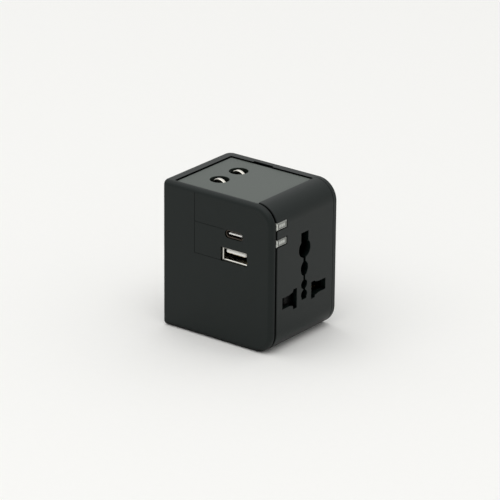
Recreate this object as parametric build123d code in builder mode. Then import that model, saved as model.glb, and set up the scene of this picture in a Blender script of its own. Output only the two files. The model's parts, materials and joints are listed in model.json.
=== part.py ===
from build123d import *
import os

os.makedirs("parts", exist_ok=True)

# Universal travel adapter, in millimetres. +Z is up, +X is the socket face, -Y is the USB side and
# +Y the slider side. The origin is at the bottom centre. The line side is +Y, the neutral side -Y.

# Outer body
body_length = 56.0
body_width = 44.0
body_height = 64.0
front_corner_radius = 9.0
far_corner_radius = 3.0
usb_edge_radius = 2.2
shell_edge_radius = 0.8
shell_wall = 2.5
rim_ledge = 1.45
rim_notch_x = -7.5
rim_notch_width = 10.0
rim_notch_depth = 0.9
groove_width = 0.6
groove_depth = 1.0
seam_width = 0.8
seam_depth = 1.8

# Clearances: fixed mouldings, sliding pieces, turning pieces and pressed metal
fit_gap = 0.1
slide_gap = 0.3
turn_gap = 0.05
press_gap = 0.02

# Panels and front cover
panel_recess = 0.45
base_recess = 0.9
panel_thickness = 2.0
cover_wall = 2.5
cover_flat = 0.4
cover_edge_radius = 0.5
cover_seam_radius = 0.15
lip_length = 2.5
lip_thickness = 1.0

# Fold-out three-pin plug on the back
uk_row_z = 21.1
uk_spacing = 22.2
uk_pin_width = 6.35
uk_pin_thickness = 4.0
uk_pin_out = 17.7
uk_earth_rise = 22.2
uk_earth_width = 4.0
uk_earth_height = 7.9
uk_earth_out = 22.7
uk_shaft_radius = 1.0
uk_sleeve_start = 0.4
uk_sleeve_length = 9.1
uk_sleeve_wall = 0.7
uk_tip_chamfer = 0.8
fold_recess = 0.4
pocket_gap = 0.4
finger_room = 2.8
housing_floor = 1.1
housing_side_wall = 0.6
uk_shaft_seat = 1.4
relief_half_width = 2.5

# Flat blades on the top, which twist for the slanted-blade standard
pin_axis_from_back = 17.0
us_spacing = 12.7
us_hole_radius = 4.05
us_turret_radius = 3.8
us_neck_radius = 3.2
us_clip_radius = 4.4
us_clip_thickness = 1.0
us_turret_head = 4.5
us_blade_shoulder = 1.2
us_blade_seat = 1.0
us_blade_width = 6.35
us_blade_thickness = 1.5
us_blade_out = 16.2
us_blade_tip_rise = 1.5
us_travel = 15.8
us_tail_length = 1.5

# Round pins on the bottom
eu_spacing = 19.0
eu_pin_radius = 2.0
eu_core_radius = 1.5
eu_pin_out = 19.0
eu_sleeve_length = 10.0
eu_tip_depth = 0.5
eu_tip_radius = 1.2
eu_rivet_radius = 2.8
eu_rivet_height = 1.0
eu_stop_gap = 0.4

# Carriages, their guide ribs, sliders and wipers
carriage_depth = 12.0
carriage_half_width = 13.5
carriage_thickness = 3.5
wiper_foot_length = 3.0
tongue_root = 1.0
rib_width = 2.0
rib_reach = 2.3
rear_rib_y = 11.5
slider_offset = 1.0
stem_width = 4.0
stem_height = 3.0
pad_width = 9.4
pad_height = 7.6
pad_thickness = 1.1
pad_depth = 0.1
pad_groove_count = 5
pad_groove_pitch = 1.4
pad_groove_width = 0.7
pad_groove_depth = 0.4
pad_groove_margin = 1.0
slider_recess = 1.25
wiper_thickness = 0.5
wiper_width = 3.0
wiper_foot_y = 10.2
us_wiper_reach = 1.5
eu_wiper_reach = 2.5

# Bus bars
web_thickness = 1.2
bus_thickness = 0.8
bus_side_gap = 1.1
bus_track_inner_y = 10.0
bus_run_gap = 1.0
bus_run_height = 4.0
bus_tab_length = 2.0
bus_foot_inner_y = 8.5
bus_foot_height = 4.0
bus_track_low = 5.0
bus_track_margin = 1.5

# Socket in the front cover
blade_slot_inner_y = 4.9
blade_slot_outer_y = 7.3
blade_slot_shift = -0.25
line_slot_height = 7.5
neutral_slot_height = 8.7
pin_slot_outer_y = 14.7
pin_slot_height = 4.9
pin_slot_inner_y = 10.0
slot_shoulder = 0.6
slot_shoulder_width = 0.3
earth_top_z = 48.1
earth_slot_width = 4.9
earth_round_radius = 3.9
earth_round_z = 40.8
oval_width = 4.9
oval_height = 6.3
oval_z = 32.2
small_round_radius = 2.05
small_round_high_z = 25.2
small_round_low_z = 20.8
earth_bottom_z = 18.7
earth_bottom_width = 3.3
neck_wide = 1.5
neck_narrow = 1.2
socket_depth = 21.4
socket_wall = 1.0
socket_chamber_height = 8.9
socket_chamber_outer_y = 14.9
socket_chamber_inner_y = 4.9
socket_column_half_width = 3.95
socket_column_low_z = 18.0
socket_column_high_z = 48.6
socket_back_wall = 1.2

# Socket contacts
leaf_thickness = 0.5
leaf_gap = 4.6
leaf_length = 17.0
leaf_inner_y = 9.0
leaf_outer_y = 14.4
blade_leaf_thickness = 0.35
tail_width = 2.0
tail_from_board = 1.8
tail_overlap = 2.0

# USB outlets
usb_x = 8.6
usb_a_drop = 25.0
usb_a_width = 13.1
usb_a_height = 5.7
usb_a_shell_wall = 0.3
usb_a_recess = 0.9
usb_a_tongue_width = 11.1
usb_a_tongue_thickness = 1.8
usb_a_tongue_drop = 0.45
usb_a_tongue_recess = 0.6
usb_a_contact_pitch = 2.3
usb_a_contact_width = 1.0
usb_a_contact_thickness = 0.25
usb_a_body_depth = 3.0
usb_c_drop = 15.7
usb_c_width = 9.0
usb_c_height = 3.2
usb_c_shell_wall = 0.25
usb_c_recess = 0.5
usb_c_tongue_width = 6.7
usb_c_tongue_thickness = 0.7
usb_c_tongue_recess = 0.6
usb_c_body_depth = 2.5
port_gap = 0.15
usb_board_y = 8.2
board_thickness = 1.2
board_inset = 0.3
usb_board_under = 5.5
usb_board_top_gap = 2.1
chip_size = 4.0
chip_height = 1.0

# Charge lights
window_width = 7.4
window_height = 3.5
window_drop = 15.7
window_pitch = 7.2
window_depth = 8.6
window_gap = 0.05
led_height = 0.7
led_width = 2.0
led_board_margin = 1.0

# Power board and its parts
board_bus_gap = 0.2
power_board_end_gap = 3.1
power_board_top_gap = 3.1
power_board_base_gap = 0.5
transformer_x = 8.6
transformer_drop = 11.5
core_length = 13.0
core_height = 13.0
core_depth = 8.5
core_leg = 3.0
winding_gap = 0.3
transformer_pin_gap = 0.3
capacitor_radius = 3.2
capacitor_length = 8.8
capacitor_from_end = 3.2
capacitor_rise = 3.5
capacitor_pitch = 7.0
fuse_radius = 2.5
fuse_length = 20.0
fuse_cap_length = 5.0
fuse_drop = 5.5
fuse_wall = 0.4
clip_thickness = 0.4
clip_side_gap = 0.5
link_pin_radius = 0.35
link_pin_count = 3
link_pin_pitch = 2.54
link_pin_drop = 1.5

# Screws
screw_radius = 1.1
screw_head_radius = 2.1
screw_head_height = 1.2
screw_head_depth = 0.4
screw_length = 8.5
screw_slot_width = 0.6
screw_slot_depth = 0.5
back_screw_y = 13.5
back_screw_low_z = 8.5
back_screw_drop = 6.6
base_screw_y = 9.0
screw_boss_radius = 2.6
screw_tip_gap = 0.5
screw_root = 0.5

# Witness lines of the mould insert around the outlets
line_width = 0.2
line_depth = 0.1
insert_line_x = -11.7
insert_low_z = 36.2
insert_mid_z = 49.9
insert_mid_end = 3.5

# Places that follow from the sizes above
x_back = -body_length / 2
x_front = body_length / 2
y_side = body_width / 2
x_back_in = x_back + shell_wall
y_in = y_side - shell_wall
z_panel_top = body_height - panel_recess
z_panel_under = z_panel_top - panel_thickness
z_ledge = z_panel_top - groove_depth + fit_gap
z_base_low = base_recess
z_base_top = z_base_low + panel_thickness
cover_start = x_front - front_corner_radius - cover_flat
x_cover_in = x_front - cover_wall
y_block = y_in - groove_width
y_block_far = y_block - rim_ledge
y_seam = y_in - seam_width
y_flange = y_in - fit_gap
x_pins = x_back + pin_axis_from_back

uk_pivot_x = x_back + fold_recess + uk_pin_thickness / 2
uk_pocket_x = uk_pivot_x + uk_pin_thickness / 2 + pocket_gap
uk_pin_reach = uk_pivot_x - x_back + uk_pin_out
earth_pivot_x = x_back + fold_recess + uk_earth_height / 2
earth_pivot_z = uk_row_z + uk_earth_rise
earth_pocket_x = earth_pivot_x + uk_earth_height / 2 + pocket_gap
earth_reach = earth_pivot_x - x_back + uk_earth_out
x_housing_back = x_back_in + fit_gap
x_housing_front = earth_pocket_x + housing_floor
uk_pocket_half = uk_pin_width / 2 + pocket_gap
uk_pocket_inner_y = uk_spacing / 2 - uk_pocket_half
uk_pocket_outer_y = uk_spacing / 2 + uk_pocket_half
housing_half_width = uk_pocket_outer_y + housing_side_wall
uk_pocket_low = uk_row_z - uk_pin_thickness / 2 - pocket_gap
uk_pocket_high = uk_row_z + uk_pin_reach + finger_room
earth_half = uk_earth_width / 2 + pocket_gap
earth_pocket_low = earth_pivot_z - earth_reach - finger_room
earth_pocket_high = earth_pivot_z + uk_earth_height / 2 + pocket_gap

turret_top = z_panel_top - us_travel
us_plate_high = turret_top - us_turret_head
us_plate_low = us_plate_high - carriage_thickness
us_clip_low = us_plate_low - turn_gap - us_clip_thickness
us_tail_low = us_clip_low - us_tail_length
us_wiper_high = us_tail_low - slide_gap
blade_tip = turret_top + us_blade_out

eu_travel = eu_pin_out + eu_tip_depth
eu_plate_low = z_base_top + eu_stop_gap + eu_travel
eu_plate_high = eu_plate_low + carriage_thickness
eu_tip = z_base_low + eu_tip_depth

x_carriage_back = x_pins - carriage_depth / 2
x_carriage_front = x_pins + carriage_depth / 2
x_slider = x_pins + slider_offset
x_web = x_carriage_front + 2 * slide_gap + wiper_thickness + bus_thickness
x_web_front = x_web + web_thickness
x_track = x_web - bus_thickness
bus_outer_y = y_in - bus_side_gap
bus_run_inner_y = bus_outer_y - bus_thickness
bus_track_high = us_plate_high + us_travel - bus_track_margin

us_stem_z = (us_plate_low + us_plate_high) / 2
eu_stem_z = (eu_plate_low + eu_plate_high) / 2
bus_run_low = eu_stem_z + stem_height / 2 + bus_run_gap
bus_run_high = bus_run_low + bus_run_height

x_socket_back = x_cover_in - fit_gap - socket_depth
x_contact = x_socket_back + socket_back_wall
chamber_low = uk_row_z - socket_chamber_height / 2
chamber_high = uk_row_z + socket_chamber_height / 2

usb_a_z = body_height - usb_a_drop
usb_c_z = body_height - usb_c_drop
usb_a_front = y_side - usb_a_recess
usb_c_front = y_side - usb_c_recess
x_board = x_web_front + board_inset
usb_board_low = usb_a_z - usb_board_under
usb_board_high = z_panel_under - usb_board_top_gap
window_low_z = body_height - window_drop
window_outer_y = y_in - fit_gap
window_inner_y = window_outer_y - window_width
x_window_back = x_front - window_depth
x_led = x_window_back - fit_gap - led_height

power_board_y = bus_run_inner_y - board_bus_gap - board_thickness
x_power_board_end = x_cover_in - power_board_end_gap
capacitor_x = x_power_board_end - capacitor_from_end
power_board_low = chamber_high + socket_wall + power_board_base_gap
power_board_high = z_panel_under - power_board_top_gap
tail_outer_y = power_board_y - tail_from_board
fuse_z = power_board_high - fuse_drop
transformer_z = fuse_z - transformer_drop
link_pin_z = power_board_high - link_pin_drop
back_screw_high_z = z_panel_under - back_screw_drop

sides = (("line", 1), ("neutral", -1))


def span(first, second):
    """Two coordinates in rising order, so that a mirrored pair can share its sizes."""
    return (min(first, second), max(first, second))


def block(x, y, z, mode=Mode.ADD):
    """A box between two coordinates on each axis."""
    with Locations((sum(x) / 2, sum(y) / 2, sum(z) / 2)):
        Box(x[1] - x[0], y[1] - y[0], z[1] - z[0], mode=mode)


def rod_x(y, z, radius, x, mode=Mode.ADD):
    """A cylinder along X."""
    with Locations(Location((sum(x) / 2, y, z), (0, 90, 0))):
        Cylinder(radius, x[1] - x[0], mode=mode)


def rod_y(x, z, radius, y, mode=Mode.ADD):
    """A cylinder along Y."""
    with Locations(Location((x, sum(y) / 2, z), (90, 0, 0))):
        Cylinder(radius, y[1] - y[0], mode=mode)


def rod_z(x, y, radius, z, mode=Mode.ADD):
    """A cylinder along Z."""
    with Locations((x, y, sum(z) / 2)):
        Cylinder(radius, z[1] - z[0], mode=mode)


# Outer shell: two side plates joined by the back wall
with BuildPart() as outer_shell:
    with BuildSketch(Plane.XZ.offset(-y_side)) as side_outline:
        with Locations((0, body_height / 2)):
            Rectangle(body_length, body_height)
        fillet(side_outline.vertices().group_by(Axis.X)[-1], front_corner_radius)
    extrude(amount=body_width)
    back_uprights = outer_shell.edges().filter_by(Axis.Z).group_by(Axis.X)[0]
    fillet(back_uprights.sort_by(Axis.Y)[-1], far_corner_radius)
    usb_face = outer_shell.faces().sort_by(Axis.Y)[0]
    fillet(
        [edge for edge in usb_face.edges() if edge.center().X > x_back + 0.01],
        usb_edge_radius,
    )
    back_face = outer_shell.faces().sort_by(Axis.X)[0]
    slider_face = outer_shell.faces().sort_by(Axis.Y)[-1]
    corner_arcs = [
        edge
        for edge in outer_shell.edges().filter_by(GeomType.CIRCLE)
        if abs(edge.radius - far_corner_radius) < 0.01
    ]
    # The far corner's own two uprights run smoothly into the faces and stay as they are
    smooth_x = x_back + far_corner_radius + 0.01
    smooth_y = y_side - far_corner_radius - 0.01
    sharp_edges = [
        edge
        for edge in back_face.edges() + slider_face.edges()
        if not (
            edge.bounding_box().size.Z > body_height / 2
            and edge.center().X < smooth_x
            and edge.center().Y > smooth_y
        )
    ]
    fillet(sharp_edges + corner_arcs, shell_edge_radius)

    # Inside, with a ledge of the top rim over the panel along the back and the slider side
    block((x_back_in, x_front + 1), (-y_in, y_in), (-1, z_ledge), Mode.SUBTRACT)
    block(
        (x_back_in + rim_ledge, x_front + 1),
        (-y_in, y_in - rim_ledge),
        (z_ledge - 1, body_height + 1),
        Mode.SUBTRACT,
    )
    block(
        (cover_start - fit_gap, x_front + 1),
        (-y_in, y_in),
        (z_ledge - 1, body_height + 1),
        Mode.SUBTRACT,
    )
    block(
        (rim_notch_x - rim_notch_width / 2, rim_notch_x + rim_notch_width / 2),
        (y_in - rim_ledge - 1, y_in - rim_ledge + rim_notch_depth),
        (z_ledge - 1, body_height + 1),
        Mode.SUBTRACT,
    )

    # Pockets for the folded pins, and half of each hinge shaft's seat
    for side in (1, -1):
        block(
            (x_back - 1, x_back_in + 1),
            span(side * uk_pocket_inner_y, side * uk_pocket_outer_y),
            (uk_pocket_low, uk_pocket_high),
            Mode.SUBTRACT,
        )
        rod_y(
            uk_pivot_x,
            uk_row_z,
            uk_shaft_radius + press_gap,
            span(side * (uk_pocket_inner_y - uk_shaft_seat), side * housing_half_width),
            Mode.SUBTRACT,
        )
    block(
        (x_back - 1, x_back_in + 1),
        (-earth_half, earth_half),
        (earth_pocket_low, earth_pocket_high),
        Mode.SUBTRACT,
    )

    # Screw holes in the back
    for side in (1, -1):
        for screw_z in (back_screw_low_z, back_screw_high_z):
            rod_x(
                side * back_screw_y,
                screw_z,
                screw_radius + fit_gap,
                (x_back - 1, x_back_in + 1),
                Mode.SUBTRACT,
            )
            rod_x(
                side * back_screw_y,
                screw_z,
                screw_head_radius + fit_gap,
                (x_back - 1, x_back + screw_head_depth + screw_head_height),
                Mode.SUBTRACT,
            )

    # Slider slots with their thumb recesses outside
    for stem_z, travel in ((us_stem_z, us_travel), (eu_stem_z, -eu_travel)):
        low = min(stem_z, stem_z + travel)
        high = max(stem_z, stem_z + travel)
        block(
            (x_slider - stem_width / 2 - slide_gap, x_slider + stem_width / 2 + slide_gap),
            (y_in - 1, y_side + 1),
            (low - stem_height / 2 - slide_gap, high + stem_height / 2 + slide_gap),
            Mode.SUBTRACT,
        )
        block(
            (x_slider - pad_width / 2 - slide_gap, x_slider + pad_width / 2 + slide_gap),
            (y_side - slider_recess, y_side + 1),
            (low - pad_height / 2 - slide_gap, high + pad_height / 2 + slide_gap),
            Mode.SUBTRACT,
        )

    # Openings for the two outlets
    block(
        (usb_x - usb_a_width / 2 - port_gap, usb_x + usb_a_width / 2 + port_gap),
        (-y_side - 1, -y_in + 1),
        (usb_a_z - usb_a_height / 2 - port_gap, usb_a_z + usb_a_height / 2 + port_gap),
        Mode.SUBTRACT,
    )
    with BuildSketch(Plane.XZ.offset(y_in - 1)):
        with Locations((usb_x, usb_c_z)):
            SlotOverall(usb_c_width + 2 * port_gap, usb_c_height + 2 * port_gap)
    extrude(amount=shell_wall + 2, mode=Mode.SUBTRACT)

    # Witness lines of the mould insert
    insert_right = usb_x - usb_a_width / 2
    block(
        (insert_line_x - line_width / 2, insert_line_x + line_width / 2),
        (-y_side - 1, -y_side + line_depth),
        (insert_low_z, body_height + 1),
        Mode.SUBTRACT,
    )
    for line_z, line_end in ((insert_low_z, insert_right), (insert_mid_z, insert_mid_end)):
        block(
            (insert_line_x, line_end),
            (-y_side - 1, -y_side + line_depth),
            (line_z - line_width / 2, line_z + line_width / 2),
            Mode.SUBTRACT,
        )
outer_shell.part.label = "outer_shell"
export_step(outer_shell.part, "parts/outer_shell.step")

# Front cover: the socket face, rounded into the top and the bottom
with BuildPart() as front_cover:
    for near_y, inset in ((-y_seam, 0.0), (-y_flange, seam_depth)):
        with BuildSketch(Plane.XZ.offset(-y_flange)) as cover_outline:
            with Locations(((cover_start + x_front - inset) / 2, body_height / 2)):
                Rectangle(x_front - inset - cover_start, body_height - 2 * inset)
            fillet(
                cover_outline.vertices().group_by(Axis.X)[-1],
                front_corner_radius - inset,
            )
        extrude(amount=y_flange - near_y)
    for rim_y, radius in ((-y_seam, cover_edge_radius), (y_flange, cover_seam_radius)):
        rim = [
            edge
            for edge in front_cover.edges()
            if abs(edge.center().Y - rim_y) < 0.01
            and edge.center().X > cover_start + 0.01
            and edge.bounding_box().size.Y < 0.01
        ]
        outer_rim = [
            edge
            for edge in rim
            if edge.center().X > x_front - 0.01
            or edge.center().Z < 0.01
            or edge.center().Z > body_height - 0.01
            or (edge.geom_type == GeomType.CIRCLE and edge.radius > front_corner_radius - 0.01)
        ]
        fillet(outer_rim, radius)
    with BuildSketch(Plane.XZ.offset(-y_side)) as cover_hollow:
        hollow_length = x_cover_in - cover_start + 1
        with Locations((x_cover_in - hollow_length / 2, body_height / 2)):
            Rectangle(hollow_length, body_height - 2 * cover_wall)
        fillet(
            cover_hollow.vertices().group_by(Axis.X)[-1],
            front_corner_radius - cover_wall,
        )
    extrude(amount=body_width, mode=Mode.SUBTRACT)

    # Lips that lie under the panels
    for panel_z, inward in ((z_panel_under, -1), (z_base_top, 1)):
        lip_z = panel_z + inward * fit_gap
        arm_z = body_height / 2 - inward * (body_height / 2 - cover_wall / 2)
        block(
            (cover_start - lip_length, cover_start + lip_length),
            (-y_seam, y_seam),
            span(lip_z, lip_z + inward * lip_thickness),
        )
        block(
            (cover_start + fit_gap, cover_start + lip_length),
            (-y_seam, y_seam),
            span(lip_z, arm_z),
        )

    # Live openings: a flat-blade slot that widens into the place for thick pins
    slot_shoulder_y = blade_slot_outer_y + slot_shoulder_width
    with BuildSketch(Plane.YZ.offset(x_cover_in - 1)):
        for side, slot_height in ((1, line_slot_height), (-1, neutral_slot_height)):
            slot_z = uk_row_z + blade_slot_shift
            slot_high = slot_z + slot_height / 2
            slot_low = slot_z - slot_height / 2
            pin_high = uk_row_z + pin_slot_height / 2
            pin_low = uk_row_z - pin_slot_height / 2
            with BuildLine():
                Polyline(
                    (side * blade_slot_inner_y, slot_high),
                    (side * blade_slot_outer_y, slot_high),
                    (side * slot_shoulder_y, pin_high + slot_shoulder),
                    (side * pin_slot_inner_y, pin_high),
                    (side * pin_slot_outer_y, pin_high),
                    (side * pin_slot_outer_y, pin_low),
                    (side * pin_slot_inner_y, pin_low),
                    (side * slot_shoulder_y, pin_low - slot_shoulder),
                    (side * blade_slot_outer_y, slot_low),
                    (side * blade_slot_inner_y, slot_low),
                    close=True,
                )
            make_face()
    extrude(amount=cover_wall + 2, mode=Mode.SUBTRACT)

    # Earth column: a chain of round, oval and square openings
    with BuildSketch(Plane.YZ.offset(x_cover_in - 1)):
        with Locations((0, (earth_top_z + earth_round_z) / 2)):
            Rectangle(earth_slot_width, earth_top_z - earth_round_z)
        with Locations((0, earth_round_z)):
            Circle(earth_round_radius)
        with Locations((0, (earth_round_z + oval_z) / 2)):
            Rectangle(neck_wide, earth_round_z - oval_z)
        with Locations((0, oval_z)):
            Ellipse(oval_width / 2, oval_height / 2)
        with Locations((0, (oval_z + small_round_low_z) / 2)):
            Rectangle(neck_narrow, oval_z - small_round_low_z)
        with Locations((0, small_round_high_z), (0, small_round_low_z)):
            Circle(small_round_radius)
        with Locations((0, (small_round_low_z + earth_bottom_z) / 2)):
            Rectangle(earth_bottom_width, small_round_low_z - earth_bottom_z)
    extrude(amount=cover_wall + 2, mode=Mode.SUBTRACT)

    # Windows for the charge lights
    for step in range(2):
        window_z = window_low_z + step * window_pitch
        block(
            (x_window_back, x_front + 1),
            (-y_side, -window_inner_y + window_gap),
            (
                window_z - window_height / 2 - window_gap,
                window_z + window_height / 2 + window_gap,
            ),
            Mode.SUBTRACT,
        )
front_cover.part.label = "front_cover"
export_step(front_cover.part, "parts/front_cover.step")

# Top and bottom panels, each a plate with a flange that closes the groove around it
x_panel_back = x_back_in + groove_width
x_flange_back = x_back_in + fit_gap
x_panel_front = cover_start - fit_gap / 2

with BuildPart() as top_panel:
    block(
        (x_panel_back + rim_ledge, x_panel_front),
        (-y_block, y_block_far),
        (z_panel_under, z_panel_top),
    )
    block(
        (x_flange_back, x_panel_front),
        (-y_flange, y_flange),
        (z_panel_under, z_panel_top - groove_depth),
    )
    for side in (1, -1):
        rod_z(
            x_pins,
            side * us_spacing / 2,
            us_hole_radius,
            (z_panel_under - 1, z_panel_top + 1),
            Mode.SUBTRACT,
        )
top_panel.part.label = "top_panel"
export_step(top_panel.part, "parts/top_panel.step")

x_base_screw = x_web_front + screw_boss_radius
with BuildPart() as bottom_panel:
    block(
        (x_panel_back, x_panel_front),
        (-y_block, y_block),
        (z_base_low, z_base_top),
    )
    block(
        (x_flange_back, x_panel_front),
        (-y_flange, y_flange),
        (z_base_low + groove_depth, z_base_top),
    )
    for side in (1, -1):
        rod_z(
            x_pins,
            side * eu_spacing / 2,
            eu_pin_radius + slide_gap,
            (z_base_low - 1, z_base_top + 1),
            Mode.SUBTRACT,
        )
        rod_z(
            x_base_screw,
            side * base_screw_y,
            screw_radius + fit_gap,
            (z_base_low - 1, z_base_top + 1),
            Mode.SUBTRACT,
        )
        rod_z(
            x_base_screw,
            side * base_screw_y,
            screw_head_radius + fit_gap,
            (z_base_low - 1, z_base_low + screw_head_height),
            Mode.SUBTRACT,
        )
bottom_panel.part.label = "bottom_panel"
export_step(bottom_panel.part, "parts/bottom_panel.step")

# Housing of the folded pins, behind the back wall
with BuildPart() as uk_pin_housing:
    block(
        (x_housing_back, x_housing_front),
        (-housing_half_width, housing_half_width),
        (z_base_top + fit_gap, z_panel_under - fit_gap),
    )
    for side in (1, -1):
        block(
            (x_housing_back - 1, uk_pocket_x),
            span(side * uk_pocket_inner_y, side * uk_pocket_outer_y),
            (uk_pocket_low, uk_pocket_high),
            Mode.SUBTRACT,
        )
        rod_y(
            uk_pivot_x,
            uk_row_z,
            uk_shaft_radius + press_gap,
            span(side * (uk_pocket_inner_y - uk_shaft_seat), side * (housing_half_width + 1)),
            Mode.SUBTRACT,
        )
        # Slot of the bus bar's foot, and the relief behind the pocket
        block(
            (uk_pocket_x - 0.01, uk_pocket_x + bus_thickness + fit_gap),
            span(side * (bus_foot_inner_y - fit_gap), side * (housing_half_width + 1)),
            (
                uk_row_z - bus_foot_height / 2 - fit_gap,
                uk_row_z + bus_foot_height / 2 + fit_gap,
            ),
            Mode.SUBTRACT,
        )
        block(
            (uk_pocket_x + housing_floor, x_housing_front + 1),
            span(
                side * (uk_spacing / 2 - relief_half_width),
                side * (uk_spacing / 2 + relief_half_width),
            ),
            (uk_row_z + bus_foot_height, uk_pocket_high),
            Mode.SUBTRACT,
        )
        for screw_z in (back_screw_low_z, back_screw_high_z):
            rod_x(
                side * back_screw_y,
                screw_z,
                screw_radius + press_gap,
                (x_housing_back - 1, x_back + screw_head_depth + screw_length + screw_tip_gap),
                Mode.SUBTRACT,
            )
    block(
        (x_housing_back - 1, earth_pocket_x),
        (-earth_half, earth_half),
        (earth_pocket_low, earth_pocket_high),
        Mode.SUBTRACT,
    )
    rod_y(
        earth_pivot_x,
        earth_pivot_z,
        uk_shaft_radius + press_gap,
        (-earth_half - uk_shaft_seat, earth_half + uk_shaft_seat),
        Mode.SUBTRACT,
    )
    for side in (1, -1):
        block(
            (x_housing_front - 0.5, x_housing_front + rib_reach),
            (side * rear_rib_y - rib_width / 2, side * rear_rib_y + rib_width / 2),
            (z_base_top + fit_gap, z_panel_under - fit_gap),
        )
uk_pin_housing.part.label = "uk_pin_housing"
export_step(uk_pin_housing.part, "parts/uk_pin_housing.step")

# Fold-out pins: metal line and neutral, plastic earth
for name, side in sides:
    pin_y = side * uk_spacing / 2
    half_width = uk_pin_width / 2
    half_thick = uk_pin_thickness / 2
    sleeve_low = uk_row_z + (uk_pivot_x - x_back) + uk_sleeve_start
    sleeve_high = sleeve_low + uk_sleeve_length
    with BuildPart() as uk_pin:
        rod_y(uk_pivot_x, uk_row_z, half_thick, (pin_y - half_width, pin_y + half_width))
        block(
            (uk_pivot_x - half_thick, uk_pivot_x + half_thick),
            (pin_y - half_width, pin_y + half_width),
            (uk_row_z, uk_row_z + uk_pin_reach),
        )
        chamfer(
            uk_pin.faces().sort_by(Axis.Z)[-1].edges(),
            uk_tip_chamfer,
        )
        with BuildSketch(Plane.XY.offset(sleeve_low)):
            with Locations((uk_pivot_x, pin_y)):
                Rectangle(uk_pin_thickness + 1, uk_pin_width + 1)
                Rectangle(
                    uk_pin_thickness - 2 * uk_sleeve_wall,
                    uk_pin_width - 2 * uk_sleeve_wall,
                    mode=Mode.SUBTRACT,
                )
        extrude(amount=sleeve_high - sleeve_low, mode=Mode.SUBTRACT)
        rod_y(
            uk_pivot_x,
            uk_row_z,
            uk_shaft_radius + turn_gap,
            (pin_y - uk_pin_width, pin_y + uk_pin_width),
            Mode.SUBTRACT,
        )
    uk_pin.part.label = f"uk_{name}_pin"
    export_step(uk_pin.part, f"parts/uk_{name}_pin.step")

    with BuildPart() as uk_sleeve:
        with BuildSketch(Plane.XY.offset(sleeve_low)):
            with Locations((uk_pivot_x, pin_y)):
                Rectangle(uk_pin_thickness, uk_pin_width)
                Rectangle(
                    uk_pin_thickness - 2 * uk_sleeve_wall + 2 * press_gap,
                    uk_pin_width - 2 * uk_sleeve_wall + 2 * press_gap,
                    mode=Mode.SUBTRACT,
                )
        extrude(amount=sleeve_high - sleeve_low)
    uk_sleeve.part.label = f"uk_{name}_sleeve"
    export_step(uk_sleeve.part, f"parts/uk_{name}_sleeve.step")

with BuildPart() as uk_earth_pin:
    earth_edge = uk_earth_width / 2
    rod_y(earth_pivot_x, earth_pivot_z, uk_earth_height / 2, (-earth_edge, earth_edge))
    block(
        (earth_pivot_x - uk_earth_height / 2, earth_pivot_x + uk_earth_height / 2),
        (-earth_edge, earth_edge),
        (earth_pivot_z - earth_reach, earth_pivot_z),
    )
    chamfer(uk_earth_pin.faces().sort_by(Axis.Z)[0].edges(), uk_tip_chamfer)
    rod_y(
        earth_pivot_x,
        earth_pivot_z,
        uk_shaft_radius + turn_gap,
        (-uk_earth_width, uk_earth_width),
        Mode.SUBTRACT,
    )
uk_earth_pin.part.label = "uk_earth_pin"
export_step(uk_earth_pin.part, "parts/uk_earth_pin.step")

with BuildPart() as uk_hinge_shafts:
    for side in (1, -1):
        shaft_span = span(
            side * (uk_pocket_inner_y - uk_shaft_seat + fit_gap),
            side * (housing_half_width - fit_gap),
        )
        rod_y(uk_pivot_x, uk_row_z, uk_shaft_radius, shaft_span)
    earth_shaft_half = earth_half + uk_shaft_seat - fit_gap
    rod_y(earth_pivot_x, earth_pivot_z, uk_shaft_radius, (-earth_shaft_half, earth_shaft_half))
uk_hinge_shafts.part.label = "uk_hinge_shafts"
export_step(uk_hinge_shafts.part, "parts/uk_hinge_shafts.step")

# Chassis web between the pin carriages and the socket
with BuildPart() as chassis_web:
    block(
        (x_web, x_web_front),
        (-bus_run_inner_y + fit_gap, bus_run_inner_y - fit_gap),
        (z_base_top + fit_gap, z_panel_under - fit_gap),
    )
    block(
        (x_carriage_front - rib_reach / 2, x_web + 0.5),
        (-rib_width / 2, rib_width / 2),
        (z_base_top + fit_gap, z_panel_under - fit_gap),
    )
    for side in (1, -1):
        rod_z(
            x_base_screw,
            side * base_screw_y,
            screw_boss_radius + slide_gap,
            (z_base_top + fit_gap, z_base_top + screw_length),
        )
        rod_z(
            x_base_screw,
            side * base_screw_y,
            screw_radius + press_gap,
            (z_base_top - 1, z_base_top + screw_length - 1),
            Mode.SUBTRACT,
        )
    # Passage of the neutral contact's tail
    block(
        (x_web - 1, x_web_front + 1),
        span(-(leaf_outer_y - tail_width - fit_gap), -(leaf_outer_y + fit_gap)),
        (uk_row_z - leaf_thickness / 2 - fit_gap, uk_row_z + leaf_thickness / 2 + fit_gap),
        Mode.SUBTRACT,
    )
chassis_web.part.label = "chassis_web"
export_step(chassis_web.part, "parts/chassis_web.step")

# Bus bars: each joins a folded pin's root, the wiper track and the socket side
for name, side in sides:
    with BuildPart() as bus_bar:
        block(
            (uk_pocket_x, uk_pocket_x + bus_thickness),
            span(side * bus_foot_inner_y, side * bus_outer_y),
            (uk_row_z - bus_foot_height / 2, uk_row_z + bus_foot_height / 2),
        )
        block(
            (uk_pocket_x, x_housing_front),
            span(side * bus_run_inner_y, side * bus_outer_y),
            (uk_row_z - bus_foot_height / 2, bus_run_high),
        )
        block(
            (uk_pocket_x, x_web),
            span(side * bus_run_inner_y, side * bus_outer_y),
            (bus_run_low, bus_run_high),
        )
        block(
            (x_track, x_web),
            span(side * bus_track_inner_y, side * bus_outer_y),
            (bus_track_low, bus_track_high),
        )
        if side > 0:
            # Tab that is soldered to the power board
            block(
                (x_web - 1, x_board + bus_tab_length),
                (bus_run_inner_y, bus_outer_y),
                (bus_run_low, bus_run_high),
            )
    bus_bar.part.label = f"bus_bar_{name}"
    export_step(bus_bar.part, f"parts/bus_bar_{name}.step")

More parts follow.
